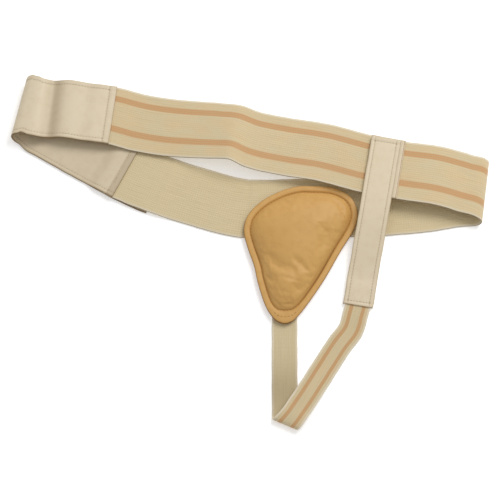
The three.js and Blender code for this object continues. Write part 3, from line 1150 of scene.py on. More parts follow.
@dataclass
class Seams:
    """Grooves along both edges of a sewn vinyl strip, and a hem at both its ends."""

    sewn: Hemming
    half: float
    start: float
    end: float

    def insets(self, along: float, across: np.ndarray) -> tuple[np.ndarray, float]:
        """Gives the distances from the nearer edge and the nearer end."""
        return self.half - np.abs(across), min(along - self.start, self.end - along)

    def relief(self, along: float, across: np.ndarray, hem_share: float = 1.0) -> np.ndarray:
        """Gives the sewn face's relief.

        Args:
            along: the place.
            across: places across it.
            hem_share: share of the hem's height.

        Returns:
            Height at each place across.
        """
        sewn = self.sewn
        inset, ends = self.insets(along, across)
        groove = -sewn.groove * ridge(inset - EDGE_STITCH, GROOVE_WIDTH)
        groove += PUFF * ridge(inset - EDGE_STITCH / 2, PUFF_WIDTH)
        hem = sewn.high * (1 - ease(ends, sewn.hem - sewn.slope, sewn.hem))
        hem -= sewn.deep * ridge(ends - sewn.hem, sewn.wide)
        wave = np.array([wander(along * 0.03, a * sewn.waves, sewn.seed) for a in across]) * WAVES
        return (groove + wave) * ease(ends, 0, FLAT_END) + hem * hem_share

    def edge_grime_and_shade(self, along: float, across: np.ndarray) -> np.ndarray:
        """Gives how dark the cut edges are; a near edge darker than the far one is painted shade.

        Args:
            along: place along the route.
            across: places across the strip.

        Returns:
            How dark, at each place across.
        """
        inset, ends = self.insets(along, across)
        near = np.where(across < 0, self.sewn.near_grime_and_shade, self.sewn.far_soil)
        return near * ridge(inset, 0.5) + self.sewn.end_soil * ridge(ends, 0.5)

    def grime_and_shade(self, along: float, across: np.ndarray, face: Face) -> np.ndarray:
        """Gives how dark the cut edges and the sewn grooves are, the same on both faces; a near edge
        darker than the far one is painted shade.

        Args:
            along: place along the route.
            across: places across the strip.
            face: the face.

        Returns:
            How dark, at each place across.
        """
        inset, ends = self.insets(along, across)
        grooves = 0.15 * ridge(inset - EDGE_STITCH, 0.6)
        hem = self.sewn.hem_soil * ridge(ends - self.sewn.hem, 0.6)
        return self.edge_grime_and_shade(along, across) + grooves + hem


def ply_faces(near: float, face: Face) -> tuple[float, float]:
    """Gives the lower and the upper face of a ply that is so far from the middle."""
    return (near, near + VINYL) if face is Face.OUTER else (-near - VINYL, -near)


Stitch = tuple[np.ndarray, np.ndarray]


def stitch(route: Route, along: float, across: float, out: float, face: Face = Face.OUTER) -> Stitch:
    """Gives a point of a line of stitches, and the normal of the face that it is on."""
    centre, width, outward = route.frame(along)
    return centre + width * across + outward * out, outward * face.value


class Stitching(Tree):
    """Rows of stitches along lines on a surface, laid by one Geometry Nodes tree."""

    def __init__(self, shift: np.ndarray):
        """Builds the tree, given the shift from the table's frame to the part's."""
        self.shift = shift
        self.tree = bpy.data.node_groups.new("stitch_rows", "GeometryNodeTree")
        self.sockets: dict[str, str] = {}
        self.socket("Geometry", "NodeSocketGeometry")
        for name in ("Spacing", "Length", "Thickness"):
            self.socket(name, "NodeSocketFloat")
        self.socket("Thread", "NodeSocketMaterial")
        self.tree.interface.new_socket("Geometry", in_out="OUTPUT", socket_type="NodeSocketGeometry")
        self.wire()

    def socket(self, name: str, kind: str) -> None:
        """Adds a named input to the tree."""
        made = self.tree.interface.new_socket(name, in_out="INPUT", socket_type=kind)
        self.sockets[name] = made.identifier

    def wire(self) -> None:
        """Joins the tree: line, points at a spacing, a stitch at each, turned along the line."""
        given = self.node("NodeGroupInput", {}).outputs
        curve = self.node("GeometryNodeMeshToCurve", {"Mesh": given["Geometry"]})
        spaced = {"Curve": curve.outputs[0], "Length": given["Spacing"]}
        points = self.node("GeometryNodeCurveToPoints", spaced, mode="LENGTH").outputs
        kind = "GeometryNodeInputNamedAttribute"
        normal = self.node(kind, {"Name": "surface"}, data_type="FLOAT_VECTOR")
        turn = "FunctionNodeAlignRotationToVector"
        forward = self.node(turn, {"Vector": points["Tangent"]}, axis="X")
        facing = {"Rotation": forward.outputs[0], "Vector": normal.outputs[0]}
        upright = self.node(turn, facing, axis="Z", pivot_axis="X")
        seeded = {"Min": 0.85, "Max": 1.1, "Seed": 7}
        uneven = self.node("FunctionNodeRandomValue", {}, data_type="FLOAT")
        for socket in uneven.inputs:
            if socket.type in ("VALUE", "INT") and socket.name in seeded and socket.enabled:
                socket.default_value = seeded[socket.name]
        chosen = next(o for o in uneven.outputs if o.type == "VALUE")
        long = self.node("ShaderNodeMath", {0: given["Length"], 1: chosen}, operation="MULTIPLY")
        sizes = {"X": long.outputs[0], "Y": given["Thickness"], "Z": given["Thickness"]}
        scale = self.node("ShaderNodeCombineXYZ", sizes)
        bead = self.node("GeometryNodeMeshUVSphere", {"Segments": 6, "Rings": 5, "Radius": 0.5})
        laid = {"Points": points["Points"], "Instance": bead.outputs["Mesh"]}
        laid |= {"Rotation": upright.outputs[0], "Scale": scale.outputs[0]}
        placed = self.node("GeometryNodeInstanceOnPoints", laid)
        real = self.node("GeometryNodeRealizeInstances", {"Geometry": placed.outputs[0]})
        thread = {"Geometry": real.outputs[0], "Material": given["Thread"]}
        dyed = self.node("GeometryNodeSetMaterial", thread)
        self.node("NodeGroupOutput", {"Geometry": dyed.outputs[0]})

    def sew(
        self,
        name: str,
        slot: str,
        lines: list[list[Stitch]],
        thread: Material,
        spacing: float = 3.0,
        length: float = 2.3,
        thickness: float = 0.55,
    ) -> None:
        """Lays stitches along lines, as a plain mesh.

        Args:
            name: the piece's name.
            slot: the record's slot.
            lines: for each line its points, each a place in millimetres and the surface's normal.
            thread: its material.
            spacing: from stitch to stitch.
            length: length of a stitch.
            thickness: thickness of the thread.
        """
        points, normals, edges = [], [], []
        for line in lines:
            first = len(points)
            points += [tuple((p + self.shift) * MM) for p, _ in line]
            normals += [tuple(n) for _, n in line]
            edges += [(first + i, first + i + 1) for i in range(len(line) - 1)]
        guide = bpy.data.meshes.new(name + "_line")
        guide.from_pydata(points, edges, [])
        surface = guide.attributes.new("surface", "FLOAT_VECTOR", "POINT")
        surface.data.foreach_set("vector", np.array(normals, dtype=np.float32).ravel())
        holder = link(name + "_line", guide)
        rows = holder.modifiers.new("rows", "NODES")
        rows.node_group = self.tree
        for key, value in {"Spacing": spacing, "Length": length, "Thickness": thickness}.items():
            rows[self.sockets[key]] = value * MM
        rows[self.sockets["Thread"]] = thread
        shown = holder.evaluated_get(bpy.context.evaluated_depsgraph_get())
        mesh = bpy.data.meshes.new_from_object(shown)
        bpy.data.objects.remove(holder)
        bpy.data.meshes.remove(guide)
        mesh.polygons.foreach_set("use_smooth", [True] * len(mesh.polygons))
        mesh.name = name
        dress(link(name, mesh), slot)


@dataclass
class Belt:
    """The waist belt: the wide elastic and the vinyl panel."""

    finishes: Finishes
    route: Route = field(default_factory=belt_route)
    creases: list[float] = field(init=False)
    first: float = field(init=False)

    def __post_init__(self) -> None:
        """Finds where the lower layer is creased and where the panel is sewn on."""
        self.creases = [self.route.place_at_x(x, False) for x in BELT_CREASES]
        self.first = self.route.length - SEAM_FROM_FOLD

    def parting(self, along: float, face: Face) -> float:
        """Gives how far a ply is from the middle of the elastic, or of the panel where there is none.

        Args:
            along: place along the route.
            face: the ply's side of the elastic.

        Returns:
            The distance.
        """
        at_hook = PLY_OVER_HOOK if face is Face.OUTER else PLY_OVER_WEBBING
        sewn = 1 - ease(along, self.first + INSERT, self.first + INSERT + EASE)
        flap = self.route.length + INNER_FLAP - INSERT
        held = ease(along, flap - EASE, flap)
        return GAP / 2 + (PLY_OVER_WEBBING - GAP / 2) * sewn + (at_hook - GAP / 2) * held

    def webbing_relief(self, along: float, across: np.ndarray, face: Face) -> np.ndarray:
        """Gives the elastic's faint puckers, its thicker selvage and its creases.

        Args:
            along: place along the route.
            across: places across the strip.
            face: the face.

        Returns:
            Height at each place across.
        """
        puckers = np.array([wander(along * 0.05, a * 0.12, 4.0) for a in across]) * 0.1
        selvage = 0.12 * ridge(HALF_BELT - 1.6 - np.abs(across), 0.8)
        pinch = 0.0
        if face is Face.INNER:
            pinch = sum(CREASE_DEPTH * ridge(along - place, CREASE_WIDTH) for place in self.creases)
        return puckers * face.value + selvage - pinch

    def webbing_edge_shadow(self, along: float, across: np.ndarray, face: Face) -> np.ndarray:
        """Gives painted shadow along the elastic's near edge."""
        return np.where(across < 0, 0.9, 0.0) * ridge(HALF_BELT - np.abs(across), 0.35)

    def webbing(self, shift: np.ndarray) -> None:
        """Makes the wide elastic.

        Args:
            shift: from the table's frame to the part's.
        """
        ribbon = Ribbon(
            "belt_elastic",
            self.route,
            INNER_FLAP - INSERT,
            self.first + INSERT,
            BELT_WIDTH,
            lambda along: (-WEBBING_FACE, WEBBING_FACE),
            relief=self.webbing_relief,
            marks_and_shade=self.webbing_edge_shadow,
            ragged=0.35,
        )
        ribbon.sheet(shift, self.finishes.elastic, "elastic", "belt_webbing", Held.FOLDED)

    def ply(self, shift: np.ndarray, name: str, node: str, face: Face, reach: float) -> None:
        """Makes one ply of the panel.

        Args:
            shift: from the table's frame to the part's.
            name: the piece's name.
            node: the node that it stands for.
            face: the side of the elastic that it is on.
            reach: how far past the left fold it goes on the lower layer.
        """
        length = self.route.length
        end = length + reach
        seams = Seams(PANEL_SEWN, HALF_BELT, self.first, end)

        def relief(along: float, across: np.ndarray, side: Face) -> np.ndarray:
            """Gives the relief of the sewn side, its hem flatter round the left fold."""
            if side is not face:
                return np.zeros_like(across)
            flat = ease(along, length - HEM, length + HEM) if face is Face.OUTER else 0.0
            return seams.relief(along, across, 1 - 0.8 * flat)

        def marks_and_shade(along: float, across: np.ndarray, side: Face) -> np.ndarray:
            """Gives where it is darker: cut edges with painted shade along the near one, grooves, painted
            shade in the valley and over the inner ply, painted shadow along the edges of the outer flap's
            end, and the inner ply's band.
            """
            dark = seams.grime_and_shade(along, across, side) if side is face else seams.edge_grime_and_shade(along, across)
            if face is Face.OUTER:
                # Painted shadow along both edges of the outer flap past the inner ply's end
                flap_edge_shadow = ease(along, length + INNER_FLAP - 2, end - 28)
                dark = dark + ridge(HALF_BELT - np.abs(across), 0.9) * flap_edge_shadow
            if side is not face:
                return dark
            if face is Face.OUTER:
                # Painted shade in the valley before the left fold
                return dark + VALLEY_SHADE * ridge(along - (length - VALLEY), VALLEY_WIDTH)
            # Painted shade over the whole inner ply, and the darker band where it ends
            return dark + INNER_PLY_SHADE + BAND_DARK * (1 - ease(end - along, HEM - 0.6, HEM + 0.6))

        ribbon = Ribbon(
            name,
            self.route,
            self.first,
            end,
            BELT_WIDTH,
            lambda along: ply_faces(self.parting(along, face), face),
            relief=relief,
            marks_and_shade=marks_and_shade,
            slide=lambda along: -FLAP_SKEW * ease(along, length + INNER_FLAP, length + OUTER_FLAP),
            step=1.6,
            pitch=1.4,
            edge=0.5,
        )
        ribbon.sheet(shift, self.finishes.vinyl, "vinyl", node, Held.FOLDED)

    def sewn(self, along: float, across: float, face: Face, proud: float = 0.0) -> Stitch:
        """Gives a point of a line of stitches on a ply."""
        out = self.parting(along, face) + VINYL - SUNK + proud
        return stitch(self.route, along, across, face.value * out, face)

    def stitches(self, stitching: Stitching) -> None:
        """Sews the panel: along both edges, across its ends, and a zigzag where the inner ply ends.

        Args:
            stitching: what sews the seams.
        """
        side = HALF_BELT - EDGE_STITCH
        reach = np.linspace(-side - 2, side + 2, 40)
        lines = []
        for face, flap in ((Face.OUTER, OUTER_FLAP), (Face.INNER, INNER_FLAP)):
            end = self.route.length + flap
            run = np.linspace(self.first + END_STITCH, end - END_STITCH, 180)
            for across in (-side, side):
                lines.append([self.sewn(along, across, face) for along in run])
            hem = (self.first + HEM, self.first + 1.7) if face is Face.OUTER else (end - HEM, end - 0.9)
            for place in hem:
                lines.append([self.sewn(place, across, face) for across in reach])
        stitching.sew("panel_stitches", "vinyl", lines, self.finishes.vinyl_thread)
        zigzag = []
        for k, across in enumerate(np.linspace(END_STITCH - HALF_BELT, HALF_BELT - END_STITCH, 27)):
            along = end - 1.6 if k % 2 else end - HEM + 0.9
            zigzag.append(self.sewn(along, across, Face.INNER, 0.1))
        stitching.sew("panel_zigzag", "vinyl", [zigzag], self.finishes.dark_thread, 2.2, 2.1, 0.6)

    def build(self, shift: np.ndarray, stitching: Stitching) -> None:
        """Makes the elastic, both plies of the panel and their seams.

        Args:
            shift: from the table's frame to the part's.
            stitching: what sews the seams.
        """
        self.webbing(shift)
        self.ply(shift, "panel_outer_ply", "closure_outer", Face.OUTER, OUTER_FLAP)
        self.ply(shift, "panel_inner_ply", "closure_inner", Face.INNER, INNER_FLAP)
        self.stitches(stitching)


def positions(obj: Object) -> np.ndarray:
    """Gives the points of an object's mesh, one row each.

    Args:
        obj: the object.

    Returns:
        The points.
    """
    points = np.empty(len(obj.data.vertices) * 3)
    obj.data.vertices.foreach_get("co", points)
    return points.reshape(-1, 3)


# The pad's filling: cell, frames, the most a point moves, heights where it is pinned, and its cloth
FILLING_CELL = 0.0032
FILLING_FRAMES = 18
FILLING_REACH = 3.0
FILLING_PINNED = (1.2, 2.6)
FILLING = {
    "vertex_group_mass": "sewn",
    "quality": 8,
    "mass": 0.2,
    "tension_stiffness": 12,
    "compression_stiffness": 12,
    "bending_stiffness": 0.6,
    "shrink_min": -0.012,
    "use_pressure": True,
    "uniform_pressure_force": 2.2,
}

# The dome's rings before and after stuffing, where stuffing sets in past the seam, and unevenness
COARSE_RINGS = 26
FINE_RINGS = 56
SEAM_BLEND = (1.5, 6.0)
UNEVEN = 0.22


@dataclass
class Pad:
    """The stuffed leather pad on its flat backing."""

    finishes: Finishes
    belt: Route
    sides: int = 240
    base: float = max(WEBBING, LEG_WEBBING) + GAP
    floor: float = field(init=False)
    middle: np.ndarray = field(init=False)
    ring: np.ndarray = field(init=False)
    inward: np.ndarray = field(init=False)
    rim: np.ndarray = field(init=False)

    def __post_init__(self) -> None:
        """Finds the pad's place on the lower layer, its outline and its rim, wider at the tip."""
        x = (PAD_PLACE - 0.5) * LAY_LENGTH
        top = self.belt.point(self.belt.place_at_x(x, False), HALF_BELT - PAD_FROM_EDGE, 0)
        self.floor = self.base + PAD_BACKING + GAP
        self.middle = np.array([x, top[1], self.base])
        self.ring = self.outline()
        ahead = np.roll(self.ring, -1, axis=0) - np.roll(self.ring, 1, axis=0)
        inward = np.stack([ahead[:, 1], -ahead[:, 0], np.zeros(self.sides)], axis=1)
        inward = inward / np.linalg.norm(inward, axis=1)[:, None]
        near = ridge(self.away(PAD_TIP), TIP_REACH)[:, None]
        inward = inward * (1 - near) + np.array([0.0, 1.0, 0.0]) * near
        self.inward = inward / np.linalg.norm(inward, axis=1)[:, None]
        self.rim = PAD_RIM_WIDTH * (1 + TIP_RIM * ridge(self.away(PAD_TIP), TIP_RIM_REACH))

    def place(self, spot: Spot | Dent) -> np.ndarray:
        """Gives a spot's point on the table."""
        return self.middle + np.array([spot.across * PAD_WIDTH, -spot.down * PAD_LENGTH, 0.0])

    def away(self, spot: Spot) -> np.ndarray:
        """Gives how far the outline is from a spot."""
        return np.linalg.norm(self.ring - self.place(spot), axis=1)

    def level(self, inset: np.ndarray | float, height: float) -> np.ndarray:
        """Gives the outline moved inwards, at a height.

        Args:
            inset: how far.
            height: the height.

        Returns:
            One row a point.
        """
        ring = self.ring + self.inward * np.asarray(inset).reshape(-1, 1)
        ring[:, 2] = height
        return ring

    def outline(self) -> np.ndarray:
        """Gives even points round the outline, on a centripetal curve through its table.

        Returns:
            One row a point.
        """
        spots = np.array([self.place(spot) for spot in PAD_OUTLINE])
        fine = []
        steps = np.linspace(0, 1, 40, endpoint=False)[:, None]
        for i in range(len(spots)):
            p0, p1, p2, p3 = (spots[(i + k) % len(spots)] for k in (-1, 0, 1, 2))
            d0, d1, d2 = (math.sqrt(math.dist(a, b)) for a, b in ((p0, p1), (p1, p2), (p2, p3)))
            out = ((p1 - p0) / d0 - (p2 - p0) / (d0 + d1) + (p2 - p1) / d1) * d1
            back = ((p2 - p1) / d1 - (p3 - p1) / (d1 + d2) + (p3 - p2) / d2) * d1
            square = -3 * p1 + 3 * p2 - 2 * out - back
            cube = 2 * p1 - 2 * p2 + out + back
            fine.append(p1 + out * steps + square * steps**2 + cube * steps**3)
        points = np.concatenate(fine)
        closed = np.vstack([points, points[:1]])
        reach = np.concatenate([[0], np.cumsum(np.linalg.norm(np.diff(closed, axis=0), axis=1))])
        even = np.linspace(0, reach[-1], self.sides, endpoint=False)
        return np.stack([np.interp(even, reach, closed[:, k]) for k in range(3)], axis=1)

    def hollow(self, points: np.ndarray, dents: tuple[Dent, ...]) -> np.ndarray:
        """Gives how deep the dents are at points of the pad.

        Args:
            points: one row each.
            dents: the dents.

        Returns:
            The depth at each point.
        """
        depth = np.zeros(len(points))
        for dent in dents:
            turn = math.radians(dent.turn)
            gap = points - self.place(dent)
            along = gap[:, 0] * math.cos(turn) + gap[:, 1] * math.sin(turn)
            beside = gap[:, 1] * math.cos(turn) - gap[:, 0] * math.sin(turn)
            fade = ridge(along, dent.long * PAD_LENGTH) * ridge(beside, dent.wide * PAD_LENGTH)
            depth += dent.deep * PAD_THICK * fade
        return depth

    def dome_rings(self, count: int) -> list[np.ndarray]:
        """Gives rings from the stitched line to the crown, with the dents in them.

        Args:
            count: one more than the rings.

        Returns:
            The rings, from the outside in.
        """
        crown = self.place(PAD_CROWN)
        stitched = self.level(self.rim, 0.0)
        start = self.floor + PAD_GROOVE
        inwards, rises = zip(*PAD_DOME_PROFILE)
        rings = []
        for fill in np.linspace(0, 1, count + 1)[1:-1] ** 1.35:
            rise = float(np.interp(fill, inwards, rises))
            ring = stitched + (crown - stitched) * fill
            ring[:, 2] = start + (PAD_THICK + self.floor - start) * rise
            ring[:, 2] -= self.hollow(ring, PAD_DENTS) * rise
            rings.append(ring)
        return rings

    def skin(self, name: str, rings: list[np.ndarray], top: np.ndarray, **values: np.ndarray) -> Mesh:
        """Joins rings from the edge of the underside to the crown, and closes both ends.

        Args:
            name: name of the mesh.
            rings: each a row of points clockwise from above.
            top: the crown.
            values: point attributes.

        Returns:
            The mesh, in metres in the part's frame.
        """
        n = self.sides
        points = np.vstack([*rings, top[None, :], rings[0].mean(axis=0)[None, :]])
        crown, foot = len(points) - 2, len(points) - 1
        faces = ring_faces(len(rings), n)
        last = (len(rings) - 1) * n
        for k in range(n):
            faces += [(last + k, crown, last + (k + 1) % n), (k, (k + 1) % n, foot)]
        return to_mesh(name, points * MM, faces, **values)

    def inflate(self, rings: list[np.ndarray], top: np.ndarray) -> BVHTree:
        """Stuffs the dome by a cloth simulation with its sewn edge pinned.

        Args:
            rings: the dome's rings.
            top: its crown.

        Returns:
            The stuffed surface, to measure heights on.
        """
        work = link("pad_filling", self.skin("pad_filling", rings, top))
        bpy.context.view_layer.objects.active = work
        cells = work.modifiers.new("cells", "REMESH")
        cells.mode = "VOXEL"
        cells.voxel_size = FILLING_CELL
        bpy.ops.object.modifier_apply(modifier=cells.name)
        start = positions(work)
        pins = work.vertex_groups.new(name=FILLING["vertex_group_mass"])
        for i, height in enumerate(start[:, 2] - rings[0][:, 2].mean() * MM):
            held = 1.0 - ease(height / MM, *FILLING_PINNED)
            if held > 0:
                pins.add([i], held, "REPLACE")
        cloth = work.modifiers.new("cloth", "CLOTH")
        for key, value in FILLING.items():
            setattr(cloth.settings, key, value)
        cloth.settings.effector_weights.gravity = 0
        cloth.collision_settings.use_collision = False
        cloth.point_cache.frame_start = 1
        cloth.point_cache.frame_end = FILLING_FRAMES
        for number in range(1, FILLING_FRAMES + 1):
            bpy.context.scene.frame_set(number)
        bpy.ops.object.modifier_apply(modifier=cloth.name)
        bpy.context.scene.frame_set(1)
        moved = positions(work) - start
        size = np.linalg.norm(moved, axis=1)
        end = start + moved * np.minimum(1, FILLING_REACH * MM / np.maximum(size, 1e-9))[:, None]
        LOG.info("pad filling moved by up to %.1f mm", size.max() / MM)
        polygons = [tuple(p.vertices) for p in work.data.polygons]
        surface = BVHTree.FromPolygons([tuple(p) for p in end], polygons)
        bpy.data.objects.remove(work)
        return surface

    def cushion(self, shift: np.ndarray) -> None:
        """Makes the pad: its rim with a cut edge, the sewn groove and the stuffed dome.

        Args:
            shift: from the table's frame to the part's.
        """
        soiled = sum((dark * ridge(self.away(spot), reach) for spot, dark, reach in PAD_SOIL), PAD_SOILED)
        rings, worn = [], []
        for step in RIM_STEPS:
            rings.append(self.level(step.inset + self.rim * step.share, self.floor + step.height))
            worn.append(step.marks_and_shade + step.grime_and_shade * soiled)
        stitched = self.level(self.rim, self.floor + PAD_GROOVE)
        crown = self.place(PAD_CROWN)
        crown[2] = self.floor + PAD_THICK
        surface = self.inflate([stitched, *self.dome_rings(COARSE_RINGS)], crown)

        def height(point: np.ndarray) -> float:
            """Gives the height of the stuffed surface under a point."""
            start = Vector((point[0] * MM, point[1] * MM, 0.1))
            hit = surface.ray_cast(start, Vector((0, 0, -1)))[0]
            return point[2] if hit is None else hit.z / MM

        for i, level in enumerate(self.dome_rings(FINE_RINGS)):
            away = np.linalg.norm(level[:, :2] - stitched[:, :2], axis=1)
            for k in range(self.sides):
                level[k, 2] += (height(level[k]) - level[k, 2]) * ease(away[k], *SEAM_BLEND)
            level[:, 2] -= self.hollow(level, PAD_CREASES)
            uneven = np.array([wander(p[0] * 0.1, p[1] * 0.1, 3.0) for p in level])
            level[:, 2] += UNEVEN * uneven * ease(i, 4, 16)
            rings.append(level)
            worn.append(0.6 * soiled * ridge(away, 0.9))
        crown[2] = float(np.mean(rings[-1][:, 2]))
        marks = np.concatenate([*worn, [0.0, 0.5]])
        rings = [level + shift for level in rings]
        mesh = self.skin("groin_pad", rings, crown + shift, worn=marks)
        obj = link("groin_pad", mesh, self.finishes.leather)
        dress(obj, "leather", "pad_cushion")

    def backing(self, shift: np.ndarray) -> None:
        """Makes the flat leather under the pad, with a rounded edge.

        Args:
            shift: from the table's frame to the part's.
        """
        rings = []
        for inset, share in ((0.5, 0.0), (0.1, 0.15), (0.0, 0.5), (0.1, 0.85), (0.5, 1.0)):
            rings.append(self.level(inset, self.base + PAD_BACKING * share) + shift)
        marks = np.full(self.sides * len(rings) + 2, 0.55)
        mesh = self.skin("pad_back", rings, rings[-1].mean(axis=0), worn=marks)
        dress(link("pad_back", mesh, self.finishes.leather), "leather", "pad_backing")

    def stitches(self, stitching: Stitching) -> None:
        """Sews the pad in its groove, and once across its tip.

        Args:
            stitching: what sews the seams.
        """
        up = np.array([0.0, 0.0, 1.0])
        groove = self.level(self.rim - 0.1, self.floor + PAD_GROOVE - 0.15)
        away = self.away(PAD_TIP)
        order = np.roll(np.arange(self.sides), self.sides // 2 - int(away.argmin()))
        seam = self.level(self.rim * TIP_SEAM_SHARE, self.floor + PAD_RIM + 0.2)
        lines = [
            [(p, up) for p in np.vstack([groove, groove[:1]])],
            [(seam[i], up) for i in order if away[i] < TIP_SEAM],
        ]
        stitching.sew("pad_stitches", "leather", lines, self.finishes.pad_thread, 3.2, 2.5, 0.6)

    def build(self, shift: np.ndarray, stitching: Stitching) -> None:
        """Makes the pad, its backing and its seams.

        Args:
            shift: from the table's frame to the part's.
            stitching: what sews the seams.
        """
        self.backing(shift)
        self.cushion(shift)
        self.stitches(stitching)


@dataclass
class LegStrap:
    """The patch on the belt, the vinyl tab on it and the narrow elastic that runs to the pad's tip."""

    finishes: Finishes
    belt: Route
    pad: Pad
    place: float = field(init=False)
    patch: float = field(init=False)
    route: Route = field(init=False)

    def __post_init__(self) -> None:
        """Finds the tab's and the patch's places on the upper layer and lays the strap's route."""
        self.place = self.belt.place_at_x((TAB_PLACE - 0.5) * LAY_LENGTH, True)
        self.patch = self.place - ANCHOR_SHIFT - ANCHOR_WIDTH / 2
        self.route = self.lay()

    def lay(self) -> Route:
        """Gives the one route of tab and elastic, from the tab's top to the end under the pad.

        Returns:
            The route.
        """
        rest = LEG_WEBBING / 2
        down = np.array([0.0, 0.0, -rest])
        _, width, outward = self.belt.frame(self.place)
        width = unit(width)
        leftward = np.cross(outward, width)
        top = HALF_BELT - TAB_INSET
        over_patch = PLY_OVER_WEBBING + 2 * VINYL + 1.5 * GAP
        on_belt = []
        for share in (0, 0.25, 0.5, 0.75, 1):
            across = top + (-HALF_BELT - top) * share
            on_belt.append((self.belt.point(self.place, across, over_patch) + down, leftward))
        edge = on_belt[-1][0]
        below = TAB_LENGTH - top - HALF_BELT
        level = unit(leftward * np.array([1.0, 1.0, 0.0]))
        falling = []
        for share in (0.2, 0.45, 0.75, 1):
            centre = edge - width * share * below
            centre[2] = edge[2] + (GAP + VINYL - edge[2]) * ease(share, 0, 1)
            falling.append((centre, level))
        flat = np.array([1.0, 1.0, 0.0])
        tab_end = falling[-1][0] * flat
        tip = self.pad.place(PAD_TIP) * flat
        bend = tip + np.array([0.0, -LEG_DROP, 0.0])
        fold = fold_stations(bend, LEG_FOLD_LEAN, LEG_FOLD_SKEW, LEG_FOLD_RADIUS, -1)
        way = tab_end - bend
        beside = np.array([way[1], -way[0], 0.0])
        rising = []
        for row in LEG_RISE:
            centre = bend + way * row.along + beside * row.bow
            centre[2] = row.rise * 2 * LEG_FOLD_RADIUS
            rising.append((centre, width_at(row.lean)))
        lowest = fold[0][0]
        square = width_at(-90)
        run = [(lowest + (tip - lowest) * share, square) for share in (0.35, 0.7, 1)]
        hidden = (tip + np.array([0.0, LEG_HIDDEN, 0.0]), square)
        stations = [*on_belt, *falling, *rising[::-1], *fold[::-1], *run, hidden]
        return Route(stations, False, lambda along, length: rest)

    def anchor(self, shift: np.ndarray) -> None:
        """Makes the patch under the tab.

        Args:
            shift: from the table's frame to the part's.
        """
        seams = Seams(TAB_SEWN, HALF_BELT, self.patch, self.patch + ANCHOR_WIDTH)
        ribbon = Ribbon(
            "tab_patch",
            self.belt,
            seams.start,
            seams.end,
            BELT_WIDTH,
            lambda along: ply_faces(PLY_OVER_WEBBING, Face.OUTER),
            marks_and_shade=seams.grime_and_shade,
            step=1.4,
            pitch=1.6,
            edge=0.5,
        )
        under = ["belt_elastic"]
        ribbon.sheet(shift, self.finishes.vinyl, "vinyl", "leg_anchor", Held.LAID, rests_on=under)

    def parting(self, along: float) -> float:
        """Gives how far the tab's plies are from its middle."""
        held = ease(along, TAB_LENGTH - INSERT - EASE, TAB_LENGTH - INSERT)
        return GAP / 2 + (LEG_WEBBING / 2 + GAP / 2) * held

    def ply(self, shift: np.ndarray, name: str, node: str, face: Face) -> None:
        """Makes one ply of the tab.

        Args:
            shift: from the table's frame to the part's.
            name: the piece's name.
            node: the node that it stands for.
            face: its sewn side.
        """
        seams = Seams(TAB_SEWN, TAB_WIDTH / 2, 0.0, TAB_LENGTH)

        def relief(along: float, across: np.ndarray, side: Face) -> np.ndarray:
            """Gives the relief of the sewn side."""
            return seams.relief(along, across) if side is face else np.zeros_like(across)

        ribbon = Ribbon(
            name,
            self.route,
            seams.start,
            seams.end,
            TAB_WIDTH,
            lambda along: ply_faces(self.parting(along), face),
            relief=relief,
            marks_and_shade=seams.grime_and_shade,
            step=1.6,
            pitch=1.2,
            edge=0.5,
        )
        ribbon.sheet(shift, self.finishes.vinyl, "vinyl", node, Held.LAID, rests_on=["tab_patch"])

    def elastic(self, shift: np.ndarray) -> None:
        """Makes the narrow elastic.

        Args:
            shift: from the table's frame to the part's.
        """
        darkest = self.route.length - LEG_HIDDEN - LEG_DARKEST

        def grime_and_shade(along: float, across: np.ndarray, face: Face) -> np.ndarray:
            """Gives where the plain face is darker, above the fold."""
            depth = LEG_DARK * ridge(along - darkest, LEG_DARK_REACH) if face is Face.INNER else 0.0
            return np.full_like(across, depth)

        ribbon = Ribbon(
            "leg_elastic",
            self.route,
            TAB_LENGTH - INSERT,
            self.route.length,
            LEG_WIDTH,
            lambda along: (-LEG_WEBBING / 2, LEG_WEBBING / 2),
            relief=lambda along, across, face: 0.1 * ridge(LEG_WIDTH / 2 - 1.4 - np.abs(across), 0.7),
            marks_and_shade=grime_and_shade,
            step=1.4,
            pitch=1.2,
            ragged=0.3,
        )
        ribbon.sheet(shift, self.finishes.leg_elastic, "elastic", "leg_webbing", Held.FOLDED)

    def sewn(self, along: float, across: float) -> Stitch:
        """Gives a point of a line of stitches on the tab's front."""
        return stitch(self.route, along, across, self.parting(along) + VINYL - TAB_SUNK)

    def stitches(self, stitching: Stitching) -> None:
        """Sews the tab along its edges and ends, and the patch beside it.

        Args:
            stitching: what sews the seams.
        """
        side = TAB_WIDTH / 2 - EDGE_STITCH
        run = np.linspace(2.0, TAB_LENGTH - 2.0, 120)
        lines = [[self.sewn(along, across) for along in run] for across in (-side, side)]
        for place in (TAB_HEM, TAB_LENGTH - TAB_HEM):
            lines.append([self.sewn(place, across) for across in np.linspace(-side, side, 20)])
        stitching.sew("tab_stitches", "vinyl", lines, self.finishes.vinyl_thread)
        out = PLY_OVER_WEBBING + VINYL - 0.05
        reach = np.linspace(END_STITCH - HALF_BELT, HALF_BELT - END_STITCH, 40)
        seam = [stitch(self.belt, self.patch + PATCH_SEAM, across, out) for across in reach]
        stitching.sew("patch_stitches", "vinyl", [seam], self.finishes.rust_thread, 2.4, 2.4, 0.6)

    def build(self, shift: np.ndarray, stitching: Stitching) -> None:
        """Makes the patch, the tab, the narrow elastic and their seams.

        Args:
            shift: from the table's frame to the part's.
            stitching: what sews the seams.
        """
        self.anchor(shift)
        self.ply(shift, "leg_tab_face", "leg_tab_front", Face.OUTER)
        self.ply(shift, "leg_tab_lining", "leg_tab_back", Face.INNER)
        self.elastic(shift)
        self.stitches(stitching)


# Name, place, size and power of each lamp
LAMPS = (("key", (0.65, 0.85, 1.3), 0.8, 15.0), ("fill", (-0.3, 0.4, 1.9), 1.6, 3.5))

# The floor lies a little below the part's, so the hems beneath the belt don't cut into it
FLOOR_DROP = 0.0003
FLOOR_GLOW = 0.28


